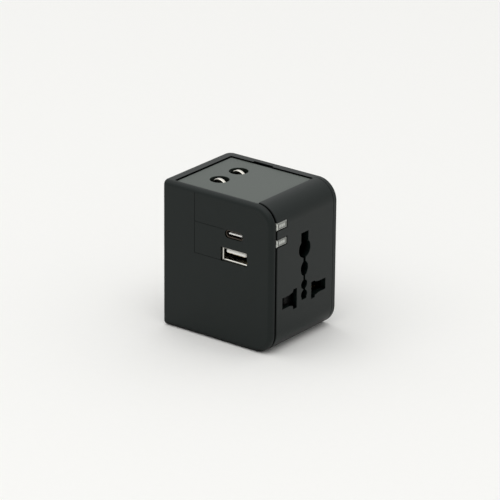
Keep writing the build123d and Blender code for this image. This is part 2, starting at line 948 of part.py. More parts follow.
# Carriages: one for the flat blades, one for the round pins
carriages = (
    ("us_carriage", us_plate_low, us_spacing / 2, us_neck_radius + turn_gap),
    ("eu_carriage", eu_plate_low, eu_spacing / 2, eu_core_radius + press_gap),
)
for name, plate_low, bore_y, bore_radius in carriages:
    plate_high = plate_low + carriage_thickness
    stem_z = (plate_low + plate_high) / 2
    with BuildPart() as carriage:
        block(
            (x_carriage_back, x_carriage_front),
            (-carriage_half_width, carriage_half_width),
            (plate_low, plate_high),
        )
        # Notches that ride on the guide ribs
        for side in (1, -1):
            block(
                (x_carriage_back - 1, x_housing_front + rib_reach + slide_gap),
                (
                    side * rear_rib_y - rib_width / 2 - slide_gap,
                    side * rear_rib_y + rib_width / 2 + slide_gap,
                ),
                (plate_low - 1, plate_high + 1),
                Mode.SUBTRACT,
            )
            rod_z(
                x_pins,
                side * bore_y,
                bore_radius,
                (plate_low - 1, plate_high + 1),
                Mode.SUBTRACT,
            )
        block(
            (x_carriage_front - rib_reach / 2 - slide_gap, x_carriage_front + 1),
            (-rib_width / 2 - slide_gap, rib_width / 2 + slide_gap),
            (plate_low - 1, plate_high + 1),
            Mode.SUBTRACT,
        )
        # Tongue that carries the slider
        block(
            (x_slider - stem_width / 2, x_slider + stem_width / 2),
            (carriage_half_width - tongue_root, bus_run_inner_y),
            (stem_z - stem_height / 2, stem_z + stem_height / 2),
        )
        if name == "us_carriage":
            # Feet that hold the wipers under the blade tails
            for side in (1, -1):
                block(
                    (x_carriage_front - wiper_foot_length, x_carriage_front),
                    span(side * wiper_foot_y, side * (wiper_foot_y + wiper_width)),
                    (us_wiper_high, plate_low + 0.5),
                )
    carriage.part.label = name
    export_step(carriage.part, f"parts/{name}.step")

# Thumb sliders
for name, stem_z in (("us_slider", us_stem_z), ("eu_slider", eu_stem_z)):
    with BuildPart() as slider:
        block(
            (x_slider - stem_width / 2, x_slider + stem_width / 2),
            (bus_run_inner_y, y_side - pad_depth - pad_thickness / 2),
            (stem_z - stem_height / 2, stem_z + stem_height / 2),
        )
        block(
            (x_slider - pad_width / 2, x_slider + pad_width / 2),
            (y_side - pad_depth - pad_thickness, y_side - pad_depth),
            (stem_z - pad_height / 2, stem_z + pad_height / 2),
        )
        for step in range(pad_groove_count):
            groove_z = stem_z + (step - (pad_groove_count - 1) / 2) * pad_groove_pitch
            groove_half = pad_width / 2 - pad_groove_margin
            block(
                (x_slider - groove_half, x_slider + groove_half),
                (y_side - pad_depth - pad_groove_depth, y_side + 1),
                (groove_z - pad_groove_width / 2, groove_z + pad_groove_width / 2),
                Mode.SUBTRACT,
            )
    slider.part.label = name
    export_step(slider.part, f"parts/{name}.step")

# Turrets, blades and clips of the flat-blade plug
for name, side in sides:
    turret_y = side * us_spacing / 2
    with BuildPart() as turret:
        rod_z(x_pins, turret_y, us_turret_radius, (us_plate_high + turn_gap, turret_top))
        rod_z(x_pins, turret_y, us_neck_radius, (us_clip_low, us_plate_high + us_blade_seat))
        block(
            (
                x_pins - us_blade_width / 2 + us_blade_shoulder - press_gap,
                x_pins + us_blade_width / 2 - us_blade_shoulder + press_gap,
            ),
            (
                turret_y - us_blade_thickness / 2 - press_gap,
                turret_y + us_blade_thickness / 2 + press_gap,
            ),
            (us_clip_low - 1, turret_top + 1),
            Mode.SUBTRACT,
        )
        block(
            (x_pins - us_blade_width / 2 - press_gap, x_pins + us_blade_width / 2 + press_gap),
            (
                turret_y - us_blade_thickness / 2 - press_gap,
                turret_y + us_blade_thickness / 2 + press_gap,
            ),
            (us_plate_high + us_blade_seat, turret_top + 1),
            Mode.SUBTRACT,
        )
    turret.part.label = f"us_turret_{name}"
    export_step(turret.part, f"parts/us_turret_{name}.step")

    with BuildPart() as blade:
        with BuildSketch(Plane.XZ.offset(-turret_y - us_blade_thickness / 2)):
            with BuildLine():
                left = (x_pins - us_blade_width / 2, blade_tip - us_blade_tip_rise)
                right = (x_pins + us_blade_width / 2, blade_tip - us_blade_tip_rise)
                shoulder = us_plate_high + us_blade_seat + press_gap
                tail_half = us_blade_width / 2 - us_blade_shoulder
                ThreePointArc(left, (x_pins, blade_tip), right)
                Polyline(
                    right,
                    (x_pins + us_blade_width / 2, shoulder),
                    (x_pins + tail_half, shoulder),
                    (x_pins + tail_half, us_tail_low),
                    (x_pins - tail_half, us_tail_low),
                    (x_pins - tail_half, shoulder),
                    (x_pins - us_blade_width / 2, shoulder),
                    left,
                )
            make_face()
        extrude(amount=us_blade_thickness)
    blade.part.label = f"us_blade_{name}"
    export_step(blade.part, f"parts/us_blade_{name}.step")

for name, side in sides:
    with BuildPart() as turret_clip:
        clip_high = us_clip_low + us_clip_thickness
        rod_z(x_pins, side * us_spacing / 2, us_clip_radius, (us_clip_low, clip_high))
        rod_z(
            x_pins,
            side * us_spacing / 2,
            us_neck_radius + press_gap,
            (us_clip_low - 1, clip_high + 1),
            Mode.SUBTRACT,
        )
    turret_clip.part.label = f"us_turret_clip_{name}"
    export_step(turret_clip.part, f"parts/us_turret_clip_{name}.step")

# Wipers that carry the current from the moving pins to the bus bars
x_wiper_face = x_track - slide_gap
for name, side in sides:
    foot_span = span(side * wiper_foot_y, side * (wiper_foot_y + wiper_width))
    with BuildPart() as us_wiper:
        block(
            (x_pins - us_wiper_reach, x_wiper_face),
            span(side * (us_spacing / 2 - us_wiper_reach), side * (wiper_foot_y + wiper_width)),
            (us_wiper_high - wiper_thickness, us_wiper_high),
        )
        block(
            (x_wiper_face - wiper_thickness, x_wiper_face),
            foot_span,
            (us_wiper_high - wiper_thickness, us_plate_high),
        )
    us_wiper.part.label = f"us_wiper_{name}"
    export_step(us_wiper.part, f"parts/us_wiper_{name}.step")

    with BuildPart() as eu_wiper:
        block(
            (x_pins - eu_wiper_reach, x_wiper_face),
            span(side * (eu_spacing / 2 - eu_wiper_reach), side * (wiper_foot_y + wiper_width)),
            (eu_plate_high, eu_plate_high + wiper_thickness),
        )
        block(
            (x_wiper_face - wiper_thickness, x_wiper_face),
            foot_span,
            (eu_plate_low, eu_plate_high + wiper_thickness),
        )
        rod_z(
            x_pins,
            side * eu_spacing / 2,
            eu_core_radius + press_gap,
            (eu_plate_high - 1, eu_plate_high + 1),
            Mode.SUBTRACT,
        )
    eu_wiper.part.label = f"eu_wiper_{name}"
    export_step(eu_wiper.part, f"parts/eu_wiper_{name}.step")

# Round pins: a turned core with a full-size tip, a riveted head and an insulating sleeve
for name, side in sides:
    pin_y = side * eu_spacing / 2
    head_low = eu_plate_high + wiper_thickness
    sleeve_low = eu_plate_low - eu_sleeve_length
    with BuildPart() as eu_pin:
        rod_z(x_pins, pin_y, eu_pin_radius, (eu_tip, sleeve_low))
        fillet(eu_pin.edges().group_by(Axis.Z)[0], eu_tip_radius)
        rod_z(x_pins, pin_y, eu_core_radius, (sleeve_low, head_low))
        rod_z(x_pins, pin_y, eu_rivet_radius, (head_low, head_low + eu_rivet_height))
    eu_pin.part.label = f"eu_pin_{name}"
    export_step(eu_pin.part, f"parts/eu_pin_{name}.step")

with BuildPart() as eu_pin_sleeves:
    for side in (1, -1):
        pin_y = side * eu_spacing / 2
        sleeve_span = (eu_plate_low - eu_sleeve_length, eu_plate_low)
        rod_z(x_pins, pin_y, eu_pin_radius, sleeve_span)
        rod_z(
            x_pins,
            pin_y,
            eu_core_radius + press_gap,
            (sleeve_span[0] - 1, sleeve_span[1] + 1),
            Mode.SUBTRACT,
        )
eu_pin_sleeves.part.label = "eu_pin_sleeves"
export_step(eu_pin_sleeves.part, "parts/eu_pin_sleeves.step")

# Socket base behind the front cover, with a chamber for each contact and one for the earth pin
x_socket_front = x_cover_in - fit_gap
with BuildPart() as socket_base:
    block(
        (x_socket_back, x_socket_front),
        (-socket_chamber_outer_y - socket_wall, socket_chamber_outer_y + socket_wall),
        (chamber_low - socket_wall, chamber_high + socket_wall),
    )
    block(
        (x_socket_back, x_socket_front),
        (-socket_column_half_width - socket_wall, socket_column_half_width + socket_wall),
        (chamber_low - socket_wall, socket_column_high_z + socket_wall),
    )
    block(
        (x_contact, x_socket_front + 1),
        (-socket_column_half_width, socket_column_half_width),
        (socket_column_low_z, socket_column_high_z),
        Mode.SUBTRACT,
    )
    for side in (1, -1):
        block(
            (x_contact, x_socket_front + 1),
            span(side * socket_chamber_inner_y, side * socket_chamber_outer_y),
            (chamber_low, chamber_high),
            Mode.SUBTRACT,
        )
    # Passages of the two contact tails
    block(
        (x_contact, x_contact + leaf_thickness + fit_gap),
        (leaf_inner_y, tail_outer_y + fit_gap),
        (uk_row_z - fit_gap, uk_row_z + leaf_gap / 2 + leaf_thickness + fit_gap),
        Mode.SUBTRACT,
    )
    block(
        (x_contact, x_contact + leaf_thickness + fit_gap),
        (tail_outer_y - tail_width - fit_gap, tail_outer_y + fit_gap),
        (uk_row_z, chamber_high + socket_wall + 1),
        Mode.SUBTRACT,
    )
    block(
        (x_socket_back - 1, x_contact + 1),
        span(-(leaf_outer_y - tail_width - fit_gap), -(leaf_outer_y + fit_gap)),
        (uk_row_z - leaf_thickness / 2 - fit_gap, uk_row_z + leaf_thickness / 2 + fit_gap),
        Mode.SUBTRACT,
    )
socket_base.part.label = "socket_base"
export_step(socket_base.part, "parts/socket_base.step")

# Socket contacts: a back plate with leaves for round and square pins and a pair for flat blades
for name, side in sides:
    x_leaf_end = x_contact + leaf_thickness + leaf_length
    blade_low = uk_row_z - leaf_gap / 2 - leaf_thickness
    blade_high = uk_row_z + leaf_gap / 2 + leaf_thickness
    blade_inner = us_spacing / 2 - us_blade_thickness / 2
    blade_outer = us_spacing / 2 + us_blade_thickness / 2
    with BuildPart() as contact:
        block(
            (x_contact, x_contact + leaf_thickness),
            span(side * (blade_inner - blade_leaf_thickness), side * leaf_outer_y),
            (blade_low, blade_high),
        )
        for leaf_low in (blade_low, blade_high - leaf_thickness):
            block(
                (x_contact, x_leaf_end),
                span(side * leaf_inner_y, side * leaf_outer_y),
                (leaf_low, leaf_low + leaf_thickness),
            )
        for leaf_y in (blade_inner - blade_leaf_thickness, blade_outer):
            block(
                (x_contact, x_leaf_end),
                span(side * leaf_y, side * (leaf_y + blade_leaf_thickness)),
                (blade_low, blade_high),
            )
        if side > 0:
            block(
                (x_contact, x_contact + leaf_thickness),
                (leaf_inner_y, tail_outer_y),
                (uk_row_z, blade_high),
            )
            block(
                (x_contact, x_contact + leaf_thickness),
                (tail_outer_y - tail_width, tail_outer_y),
                (uk_row_z, power_board_low + tail_overlap),
            )
            block(
                (x_contact, x_contact + leaf_thickness),
                (tail_outer_y - tail_width, power_board_y),
                (power_board_low, power_board_low + tail_overlap),
            )
        else:
            block(
                (x_web, x_contact + leaf_thickness),
                span(-(leaf_outer_y - tail_width), -leaf_outer_y),
                (uk_row_z - leaf_thickness / 2, uk_row_z + leaf_thickness / 2),
            )
    contact.part.label = f"socket_contact_{name}"
    export_step(contact.part, f"parts/socket_contact_{name}.step")

# Board of the USB outlets, which stands behind them
with BuildPart() as usb_board:
    block(
        (x_board, x_window_back),
        (-usb_board_y, -usb_board_y + board_thickness),
        (usb_board_low, usb_board_high),
    )
usb_board.part.label = "usb_board"
export_step(usb_board.part, "parts/usb_board.step")

with BuildPart() as usb_a_shell:
    with BuildSketch(Plane.XZ.offset(usb_board_y)):
        with Locations((usb_x, usb_a_z)):
            Rectangle(usb_a_width, usb_a_height)
            Rectangle(
                usb_a_width - 2 * usb_a_shell_wall,
                usb_a_height - 2 * usb_a_shell_wall,
                mode=Mode.SUBTRACT,
            )
    extrude(amount=usb_a_front - usb_board_y)
usb_a_shell.part.label = "usb_a_shell"
export_step(usb_a_shell.part, "parts/usb_a_shell.step")

usb_a_inner_width = usb_a_width - 2 * usb_a_shell_wall - 2 * press_gap
usb_a_inner_height = usb_a_height - 2 * usb_a_shell_wall - 2 * press_gap
usb_a_tongue_high = usb_a_z + usb_a_inner_height / 2 - usb_a_tongue_drop
usb_a_tongue_low = usb_a_tongue_high - usb_a_tongue_thickness
with BuildPart() as usb_a_tongue:
    block(
        (usb_x - usb_a_inner_width / 2, usb_x + usb_a_inner_width / 2),
        (-usb_board_y - usb_a_body_depth, -usb_board_y),
        (usb_a_z - usb_a_inner_height / 2, usb_a_z + usb_a_inner_height / 2),
    )
    block(
        (usb_x - usb_a_tongue_width / 2, usb_x + usb_a_tongue_width / 2),
        (-usb_a_front + usb_a_tongue_recess, -usb_board_y),
        (usb_a_tongue_low, usb_a_tongue_high),
    )
usb_a_tongue.part.label = "usb_a_tongue"
export_step(usb_a_tongue.part, "parts/usb_a_tongue.step")

with BuildPart() as usb_a_contacts:
    for step in range(4):
        contact_x = usb_x + (step - 1.5) * usb_a_contact_pitch
        block(
            (contact_x - usb_a_contact_width / 2, contact_x + usb_a_contact_width / 2),
            (
                -usb_a_front + 2 * usb_a_tongue_recess,
                -usb_board_y - usb_a_body_depth,
            ),
            (usb_a_tongue_low - usb_a_contact_thickness, usb_a_tongue_low),
        )
usb_a_contacts.part.label = "usb_a_contacts"
export_step(usb_a_contacts.part, "parts/usb_a_contacts.step")

with BuildPart() as usb_c_shell:
    with BuildSketch(Plane.XZ.offset(usb_board_y)):
        with Locations((usb_x, usb_c_z)):
            SlotOverall(usb_c_width, usb_c_height)
            SlotOverall(
                usb_c_width - 2 * usb_c_shell_wall,
                usb_c_height - 2 * usb_c_shell_wall,
                mode=Mode.SUBTRACT,
            )
    extrude(amount=usb_c_front - usb_board_y)
usb_c_shell.part.label = "usb_c_shell"
export_step(usb_c_shell.part, "parts/usb_c_shell.step")

with BuildPart() as usb_c_tongue:
    with BuildSketch(Plane.XZ.offset(usb_board_y)):
        with Locations((usb_x, usb_c_z)):
            SlotOverall(
                usb_c_width - 2 * usb_c_shell_wall - 2 * press_gap,
                usb_c_height - 2 * usb_c_shell_wall - 2 * press_gap,
            )
    extrude(amount=usb_c_body_depth)
    block(
        (usb_x - usb_c_tongue_width / 2, usb_x + usb_c_tongue_width / 2),
        (-usb_c_front + usb_c_tongue_recess, -usb_board_y),
        (usb_c_z - usb_c_tongue_thickness / 2, usb_c_z + usb_c_tongue_thickness / 2),
    )
usb_c_tongue.part.label = "usb_c_tongue"
export_step(usb_c_tongue.part, "parts/usb_c_tongue.step")

with BuildPart() as charge_controller:
    chip_x = usb_x - usb_a_width / 2 + chip_size / 2
    chip_z = usb_board_high - chip_size
    block(
        (chip_x - chip_size / 2, chip_x + chip_size / 2),
        (-usb_board_y - chip_height, -usb_board_y),
        (chip_z - chip_size / 2, chip_z + chip_size / 2),
    )
charge_controller.part.label = "charge_controller"
export_step(charge_controller.part, "parts/charge_controller.step")

# Charge lights: two light guides in the cover and a small board with their lamps
for step, name in enumerate(("light_guide_lower", "light_guide_upper")):
    window_z = window_low_z + step * window_pitch
    with BuildPart() as light_guide:
        block(
            (x_window_back, x_front),
            (-window_outer_y, -window_inner_y),
            (window_z - window_height / 2, window_z + window_height / 2),
        )
        fillet(
            light_guide.faces().sort_by(Axis.X)[-1].edges(),
            cover_edge_radius,
        )
    light_guide.part.label = name
    export_step(light_guide.part, f"parts/{name}.step")

with BuildPart() as light_board:
    block(
        (x_led - board_thickness, x_led),
        (-window_outer_y + led_board_margin, -usb_board_y),
        (
            window_low_z - window_height / 2 - led_board_margin,
            window_low_z + window_pitch + window_height / 2 + led_board_margin,
        ),
    )
light_board.part.label = "light_board"
export_step(light_board.part, "parts/light_board.step")

with BuildPart() as lamps:
    for step in range(2):
        window_z = window_low_z + step * window_pitch
        lamp_y = -(window_outer_y + window_inner_y) / 2
        block(
            (x_led, x_led + led_height),
            (lamp_y - led_width / 2, lamp_y + led_width / 2),
            (window_z - led_width / 2, window_z + led_width / 2),
        )
lamps.part.label = "lamps"
export_step(lamps.part, "parts/lamps.step")

# Power board with the parts that make the charging voltage
with BuildPart() as power_board:
    block(
        (x_board, x_power_board_end),
        (power_board_y, power_board_y + board_thickness),
        (power_board_low, power_board_high),
    )
power_board.part.label = "power_board"
export_step(power_board.part, "parts/power_board.step")

core_high_y = power_board_y - transformer_pin_gap
core_low_y = core_high_y - core_depth
winding_x = (
    transformer_x - core_length / 2 + core_leg + winding_gap,
    transformer_x + core_length / 2 - core_leg - winding_gap,
)
with BuildPart() as transformer_core:
    block(
        (transformer_x - core_length / 2, transformer_x + core_length / 2),
        (core_low_y, core_high_y),
        (transformer_z - core_height / 2, transformer_z + core_height / 2),
    )
    block(
        (transformer_x - core_length / 2 + core_leg, transformer_x + core_length / 2 - core_leg),
        (core_low_y - 1, core_high_y + 1),
        (
            transformer_z - core_height / 2 + core_leg,
            transformer_z + core_height / 2 - core_leg,
        ),
        Mode.SUBTRACT,
    )
transformer_core.part.label = "transformer_core"
export_step(transformer_core.part, "parts/transformer_core.step")

with BuildPart() as transformer_winding:
    block(
        winding_x,
        (core_low_y, power_board_y),
        (
            transformer_z - core_height / 2 + core_leg + winding_gap,
            transformer_z + core_height / 2 - core_leg - winding_gap,
        ),
    )
transformer_winding.part.label = "transformer_winding"
export_step(transformer_winding.part, "parts/transformer_winding.step")

with BuildPart() as capacitors:
    for step in range(2):
        capacitor_z = transformer_z + capacitor_rise - step * capacitor_pitch
        rod_y(
            capacitor_x,
            capacitor_z,
            capacitor_radius,
            (power_board_y - capacitor_length, power_board_y),
        )
capacitors.part.label = "capacitors"
export_step(capacitors.part, "parts/capacitors.step")

# Fuse in its two clips
fuse_y = power_board_y - clip_thickness - fuse_radius
fuse_start = x_board + board_inset
fuse_end = fuse_start + fuse_length
with BuildPart() as fuse_glass:
    glass_span = (fuse_start + fuse_cap_length, fuse_end - fuse_cap_length)
    rod_x(fuse_y, fuse_z, fuse_radius - fuse_wall, glass_span)
fuse_glass.part.label = "fuse_glass"
export_step(fuse_glass.part, "parts/fuse_glass.step")

with BuildPart() as fuse_caps:
    rod_x(fuse_y, fuse_z, fuse_radius, (fuse_start, fuse_start + fuse_cap_length))
    rod_x(fuse_y, fuse_z, fuse_radius, (fuse_end - fuse_cap_length, fuse_end))
fuse_caps.part.label = "fuse_caps"
export_step(fuse_caps.part, "parts/fuse_caps.step")

with BuildPart() as fuse_clips:
    for clip_x in (fuse_start + fuse_cap_length / 2, fuse_end - fuse_cap_length / 2):
        clip_length = fuse_cap_length / 2 - clip_side_gap
        clip_span = (clip_x - clip_length, clip_x + clip_length)
        clip_half = fuse_radius + press_gap + clip_thickness
        block(
            clip_span,
            (fuse_y - fuse_radius / 2, power_board_y),
            (fuse_z - clip_half, fuse_z + clip_half),
        )
        block(
            (clip_x - fuse_cap_length, clip_x + fuse_cap_length),
            (fuse_y - fuse_radius, fuse_y),
            (fuse_z - fuse_radius - press_gap, fuse_z + fuse_radius + press_gap),
            Mode.SUBTRACT,
        )
        rod_x(
            fuse_y,
            fuse_z,
            fuse_radius + press_gap,
            (clip_x - fuse_cap_length, clip_x + fuse_cap_length),
            Mode.SUBTRACT,
        )
fuse_clips.part.label = "fuse_clips"
export_step(fuse_clips.part, "parts/fuse_clips.step")

# Pins that join the two boards
with BuildPart() as board_link_pins:
    for step in range(link_pin_count):
        link_x = usb_x + (step - (link_pin_count - 1) / 2) * link_pin_pitch
        rod_y(
            link_x,
            link_pin_z,
            link_pin_radius,
            (-usb_board_y + board_thickness, power_board_y),
        )
board_link_pins.part.label = "board_link_pins"
export_step(board_link_pins.part, "parts/board_link_pins.step")

# Screws: four in the back wall and two in the bottom panel
with BuildPart() as back_screws:
    for side in (1, -1):
        for screw_z in (back_screw_low_z, back_screw_high_z):
            head_x = x_back + screw_head_depth
            screw_y = side * back_screw_y
            rod_x(screw_y, screw_z, screw_head_radius, (head_x, head_x + screw_head_height))
            rod_x(screw_y, screw_z, screw_radius, (head_x + screw_root, head_x + screw_length))
            for length, height in (
                (screw_head_radius, screw_slot_width),
                (screw_slot_width, screw_head_radius),
            ):
                block(
                    (head_x - 1, head_x + screw_slot_depth),
                    (screw_y - length / 2, screw_y + length / 2),
                    (screw_z - height / 2, screw_z + height / 2),
                    Mode.SUBTRACT,
                )
back_screws.part.label = "back_screws"
export_step(back_screws.part, "parts/back_screws.step")

with BuildPart() as base_screws:
    for side in (1, -1):
        screw_y = side * base_screw_y
        rod_z(
            x_base_screw,
            screw_y,
            screw_head_radius,
            (z_base_low, z_base_low + screw_head_height),
        )
        rod_z(
            x_base_screw,
            screw_y,
            screw_radius,
            (z_base_low + screw_root, z_base_low + screw_length),
        )
        for length, width in (
            (screw_head_radius, screw_slot_width),
            (screw_slot_width, screw_head_radius),
        ):
            block(
                (x_base_screw - length / 2, x_base_screw + length / 2),
                (screw_y - width / 2, screw_y + width / 2),
                (z_base_low - 1, z_base_low + screw_slot_depth),
                Mode.SUBTRACT,
            )
base_screws.part.label = "base_screws"
export_step(base_screws.part, "parts/base_screws.step")
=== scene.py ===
"""Travel adapter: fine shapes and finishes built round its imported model."""

import json
import math

import bmesh
import bpy
from mathutils import Matrix, Vector

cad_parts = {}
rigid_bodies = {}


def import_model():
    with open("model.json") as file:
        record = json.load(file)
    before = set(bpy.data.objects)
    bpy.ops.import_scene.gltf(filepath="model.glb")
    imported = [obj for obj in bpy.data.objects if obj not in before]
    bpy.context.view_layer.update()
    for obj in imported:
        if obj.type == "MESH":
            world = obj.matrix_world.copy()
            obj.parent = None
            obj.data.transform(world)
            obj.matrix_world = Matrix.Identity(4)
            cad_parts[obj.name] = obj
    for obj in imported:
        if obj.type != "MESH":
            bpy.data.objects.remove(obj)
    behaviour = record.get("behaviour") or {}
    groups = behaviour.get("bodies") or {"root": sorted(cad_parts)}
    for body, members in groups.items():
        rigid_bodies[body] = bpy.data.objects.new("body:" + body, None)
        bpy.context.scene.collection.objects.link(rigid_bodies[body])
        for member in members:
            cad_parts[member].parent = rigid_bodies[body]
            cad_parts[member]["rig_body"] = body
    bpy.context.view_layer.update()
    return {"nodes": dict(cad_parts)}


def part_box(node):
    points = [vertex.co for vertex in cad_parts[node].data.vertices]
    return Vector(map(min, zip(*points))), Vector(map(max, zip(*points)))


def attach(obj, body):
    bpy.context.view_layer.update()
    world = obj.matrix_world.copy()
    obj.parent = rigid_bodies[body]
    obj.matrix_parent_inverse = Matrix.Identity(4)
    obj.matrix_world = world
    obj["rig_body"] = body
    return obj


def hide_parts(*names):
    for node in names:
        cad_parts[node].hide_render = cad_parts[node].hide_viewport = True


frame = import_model()

bl_info = {
    "name": "Travel adapter",
    "version": (1, 0, 0),
    "blender": (4, 5, 0),
    "location": "3D View > Sidebar > Adapter",
    "description": "Builds the pieces and finishes of a travel adapter on its packed model",
    "category": "Object",
}

MM = 0.001


def linear(code):
    """Turns an sRGB hex value into the linear colour that the shaders use."""
    parts = [int(code[i : i + 2], 16) / 255 for i in (1, 3, 5)]
    return [p / 12.92 if p <= 0.04045 else ((p + 0.055) / 1.055) ** 2.4 for p in parts]


def colour(name, code, description):
    """A colour that a user may change."""
    return bpy.props.FloatVectorProperty(
        name=name,
        description=description,
        default=linear(code),
        min=0.0,
        max=1.0,
        subtype="COLOR",
    )


def size(name, millimetres, description):
    """A length that a user may change, given here in millimetres."""
    return bpy.props.FloatProperty(
        name=name,
        description=description,
        default=millimetres * MM,
        min=0.0,
        subtype="DISTANCE",
        unit="LENGTH",
        precision=5,
    )


def count(name, default, description):
    """A number of copies that a user may change."""
    return bpy.props.IntProperty(name=name, description=description, default=default, min=1)


def number(name, default, description, unit="NONE"):
    """A plain value that a user may change."""
    return bpy.props.FloatProperty(
        name=name, description=description, default=default, min=0.0, unit=unit
    )


def angle(name, degrees, description):
    """An angle that a user may change, given here in degrees."""
    return bpy.props.FloatProperty(
        name=name,
        description=description,
        default=math.radians(degrees),
        subtype="ANGLE",
        unit="ROTATION",
    )


class AdapterSizes(bpy.types.PropertyGroup):
    """Sizes of the fine details."""

    casing_corner: size("Casing corner", 9.0, "Corner radius of the casing's side profile")
    casing_edge: size("Casing edge", 0.2, "Rounding of the casing's moulded edges")
    seam_edge: size("Seam edge", 0.5, "Rounding of the shell's edge along the cover's seam")
    panel_edge: size("Panel edge", 0.15, "Rounding of the top and bottom panels' edges")
    inner_edge: size("Inner edge", 0.12, "Rounding of the hidden mouldings' edges")
    metal_edge: size("Metal edge", 0.08, "Rounding of stamped and turned metal edges")
    thin_edge: size("Thin edge", 0.05, "Rounding of thin strips, boards, clips and glass")
    blade_edge: size("Blade edge", 0.3, "Rounding of the flat blades' edges")
    pin_edge: size("Pin edge", 0.3, "Rounding of the square pins' edges")
    window_edge: size("Window edge", 0.06, "Rounding of the light guides' polished edges")
    light_board_edge: size("Light board edge", 0.03, "Rounding of the light board's edges")
    lamp_edge: size("Lamp edge", 0.12, "Rounding of the lamps' cast edges")
    outlet_edge: size("Outlet edge", 0.04, "Rounding of the outlets' sheet edges")
    spring_edge: size("Spring edge", 0.03, "Rounding of the contact springs' edges")
    chip_edge: size("Chip edge", 0.1, "Rounding of the charge controller's edges")
    core_edge: size("Core edge", 0.2, "Rounding of the transformer core's edges")
    tape_edge: size("Tape edge", 0.3, "Rounding of the wrapped winding's edges")
    can_edge: size("Capacitor edge", 0.5, "Rounding of the capacitors' ends")
    cap_edge: size("Fuse cap edge", 0.2, "Rounding of the fuse caps' edges")
    screw_edge: size("Screw edge", 0.06, "Rounding of the screw heads' rims")
    grain: size("Grain", 0.22, "Size of the spark-eroded grain on the casing")
    rib_length: size("Rib length", 8.0, "Length of a grip rib on the thumb sliders")
    rib_width: size("Rib width", 0.8, "Width of a grip rib on the thumb sliders")
    rib_height: size("Rib height", 0.4, "Height of a grip rib above the thumb slider's floor")
    rib_pitch: size("Rib pitch", 1.35, "Distance between grip ribs")
    rib_count: count("Ribs", 5, "Grip ribs on each thumb slider")
    flute_width: size("Flute width", 1.05, "Width of a fine rib on the light guides")
    flute_height: size("Flute height", 0.07, "Height of a fine rib above the light guide's face")
    flute_pitch: size("Flute pitch", 1.3, "Distance between the light guides' fine ribs")
    flute_count: count("Flutes", 3, "Fine ribs on the face of each light guide")
    screw_cross: size("Screw cross", 0.55, "Width of the cross in the screw heads")
    wire: size("Winding wire", 0.42, "Thickness of the transformer's wire")
    wire_turns: count("Winding turns", 13, "Turns of wire that show on the transformer")
    shell_lip: size("Outlet lip", 0.35, "Width of the rolled lip at each outlet's mouth")


class AdapterColours(bpy.types.PropertyGroup):
    """Colours of the finishes."""

    casing: colour("Casing", "#050f0d", "Matt black moulding of the shell and cover")
    panel: colour("Panels", "#3a423c", "Satin dark moulding of the two panels")
    # The inner colour also paints the outlet tongues' backs black, as shade deep in the outlets.
    inner: colour("Inner mouldings", "#0e1010", "Hidden black mouldings")
    window: colour("Charge lights", "#888a85", "Smoke-grey light guides")
    nickel: colour("Blades", "#d9d6cd", "Nickel plating of the blades and pins")
    brass: colour("Brass strip", "#c9a457", "Bus bars and contacts")
    steel: colour("Screws", "#a9abab", "Zinc-plated steel")
    outlet: colour("Outlet shells", "#cfcdc6", "Nickel-plated steel of the outlets")
    tongue: colour("Outlet tongues", "#f6f5f1", "White moulding inside the outlets")
    board: colour("Boards", "#1d5a34", "Green solder mask")
    gold: colour("Contacts", "#d8b25a", "Gold plating of the outlet contacts")
    tape: colour("Winding tape", "#d8b32c", "Polyester tape of the transformer")
    capacitor: colour("Capacitors", "#2a3550", "Sleeve of the capacitors")
    floor: colour("Floor", "#f8f7f5", "Pale studio floor")


class AdapterStage(bpy.types.PropertyGroup):
    """Camera and lights."""

    lens: number("Lens", 239.8, "Focal length of the camera", "CAMERA")
    azimuth: angle("Azimuth", 37.37, "Turn of the camera round the adapter")
    elevation: angle("Elevation", 21.44, "Height angle of the camera")
    key_power: number("Key light", 19.0, "Power of the soft key light", "POWER")
    fill_power: number("Fill light", 1.0, "Power of the soft fill light", "POWER")
    room_low: number("Room light low", 0.5, "Strength of the room's light at floor height")
    room_high: number("Room light high", 0.86, "Strength of the room's light overhead")
    room_mirror: number("Room mirrored", 1.5, "How much stronger glossy surfaces see it")


sizes = colours = stage = None


# Finishes


def add(tree, kind, settings=None, give=None):
    """Adds a node, sets its properties and inputs, and links the sockets given for inputs.

    A list of sockets is linked to one input. With give, that output comes back, not the node.
    A Mix node's sockets share their names, so they go by number: for colours 0 is the share, 6 and
    7 are what is mixed and 2 is the result, and for plain values 2 and 3 are mixed into 0.
    """
    node = tree.nodes.new(kind)
    for key, value in (settings or {}).items():
        sources = value if isinstance(value, list) else [value]
        if isinstance(sources[0], bpy.types.NodeSocket):
            for source in sources:
                tree.links.new(source, node.inputs[key])
        elif isinstance(key, str) and hasattr(node, key):
            setattr(node, key, value)
        else:
            node.inputs[key].default_value = value
    return node if give is None else node.outputs[give]


def rgba(values, factor=1.0):
    """A linear colour, scaled and held below white, with full alpha."""
    return (*(min(1.0, v * factor) for v in values), 1.0)


def per(millimetres):
    """Texture scale that gives a pattern of this real size on object coordinates."""
    return 1.0 / (millimetres * MM)


def material(name, settings):
    """A new material, its tree, its shader and the piece's own coordinates."""
    made = bpy.data.materials.new(name)
    made.use_nodes = True
    tree = made.node_tree
    tree.nodes.clear()
    shader = add(tree, "ShaderNodeBsdfPrincipled", settings)
    add(tree, "ShaderNodeOutputMaterial", {"Surface": shader.outputs["BSDF"]})
    where = add(tree, "ShaderNodeTexCoord", give="Object")
    return made, tree, shader, where


def cloudy(tree, where, low, high, millimetres):
    """A colour that drifts between two tones over a real distance, and the pattern behind it."""
    settings = {"Scale": per(millimetres), "Detail": 3.0, "Vector": where}
    drift = add(tree, "ShaderNodeTexNoise", settings, "Fac")
    return add(tree, "ShaderNodeMix", {"data_type": "RGBA", 6: low, 7: high, 0: drift}, 2), drift


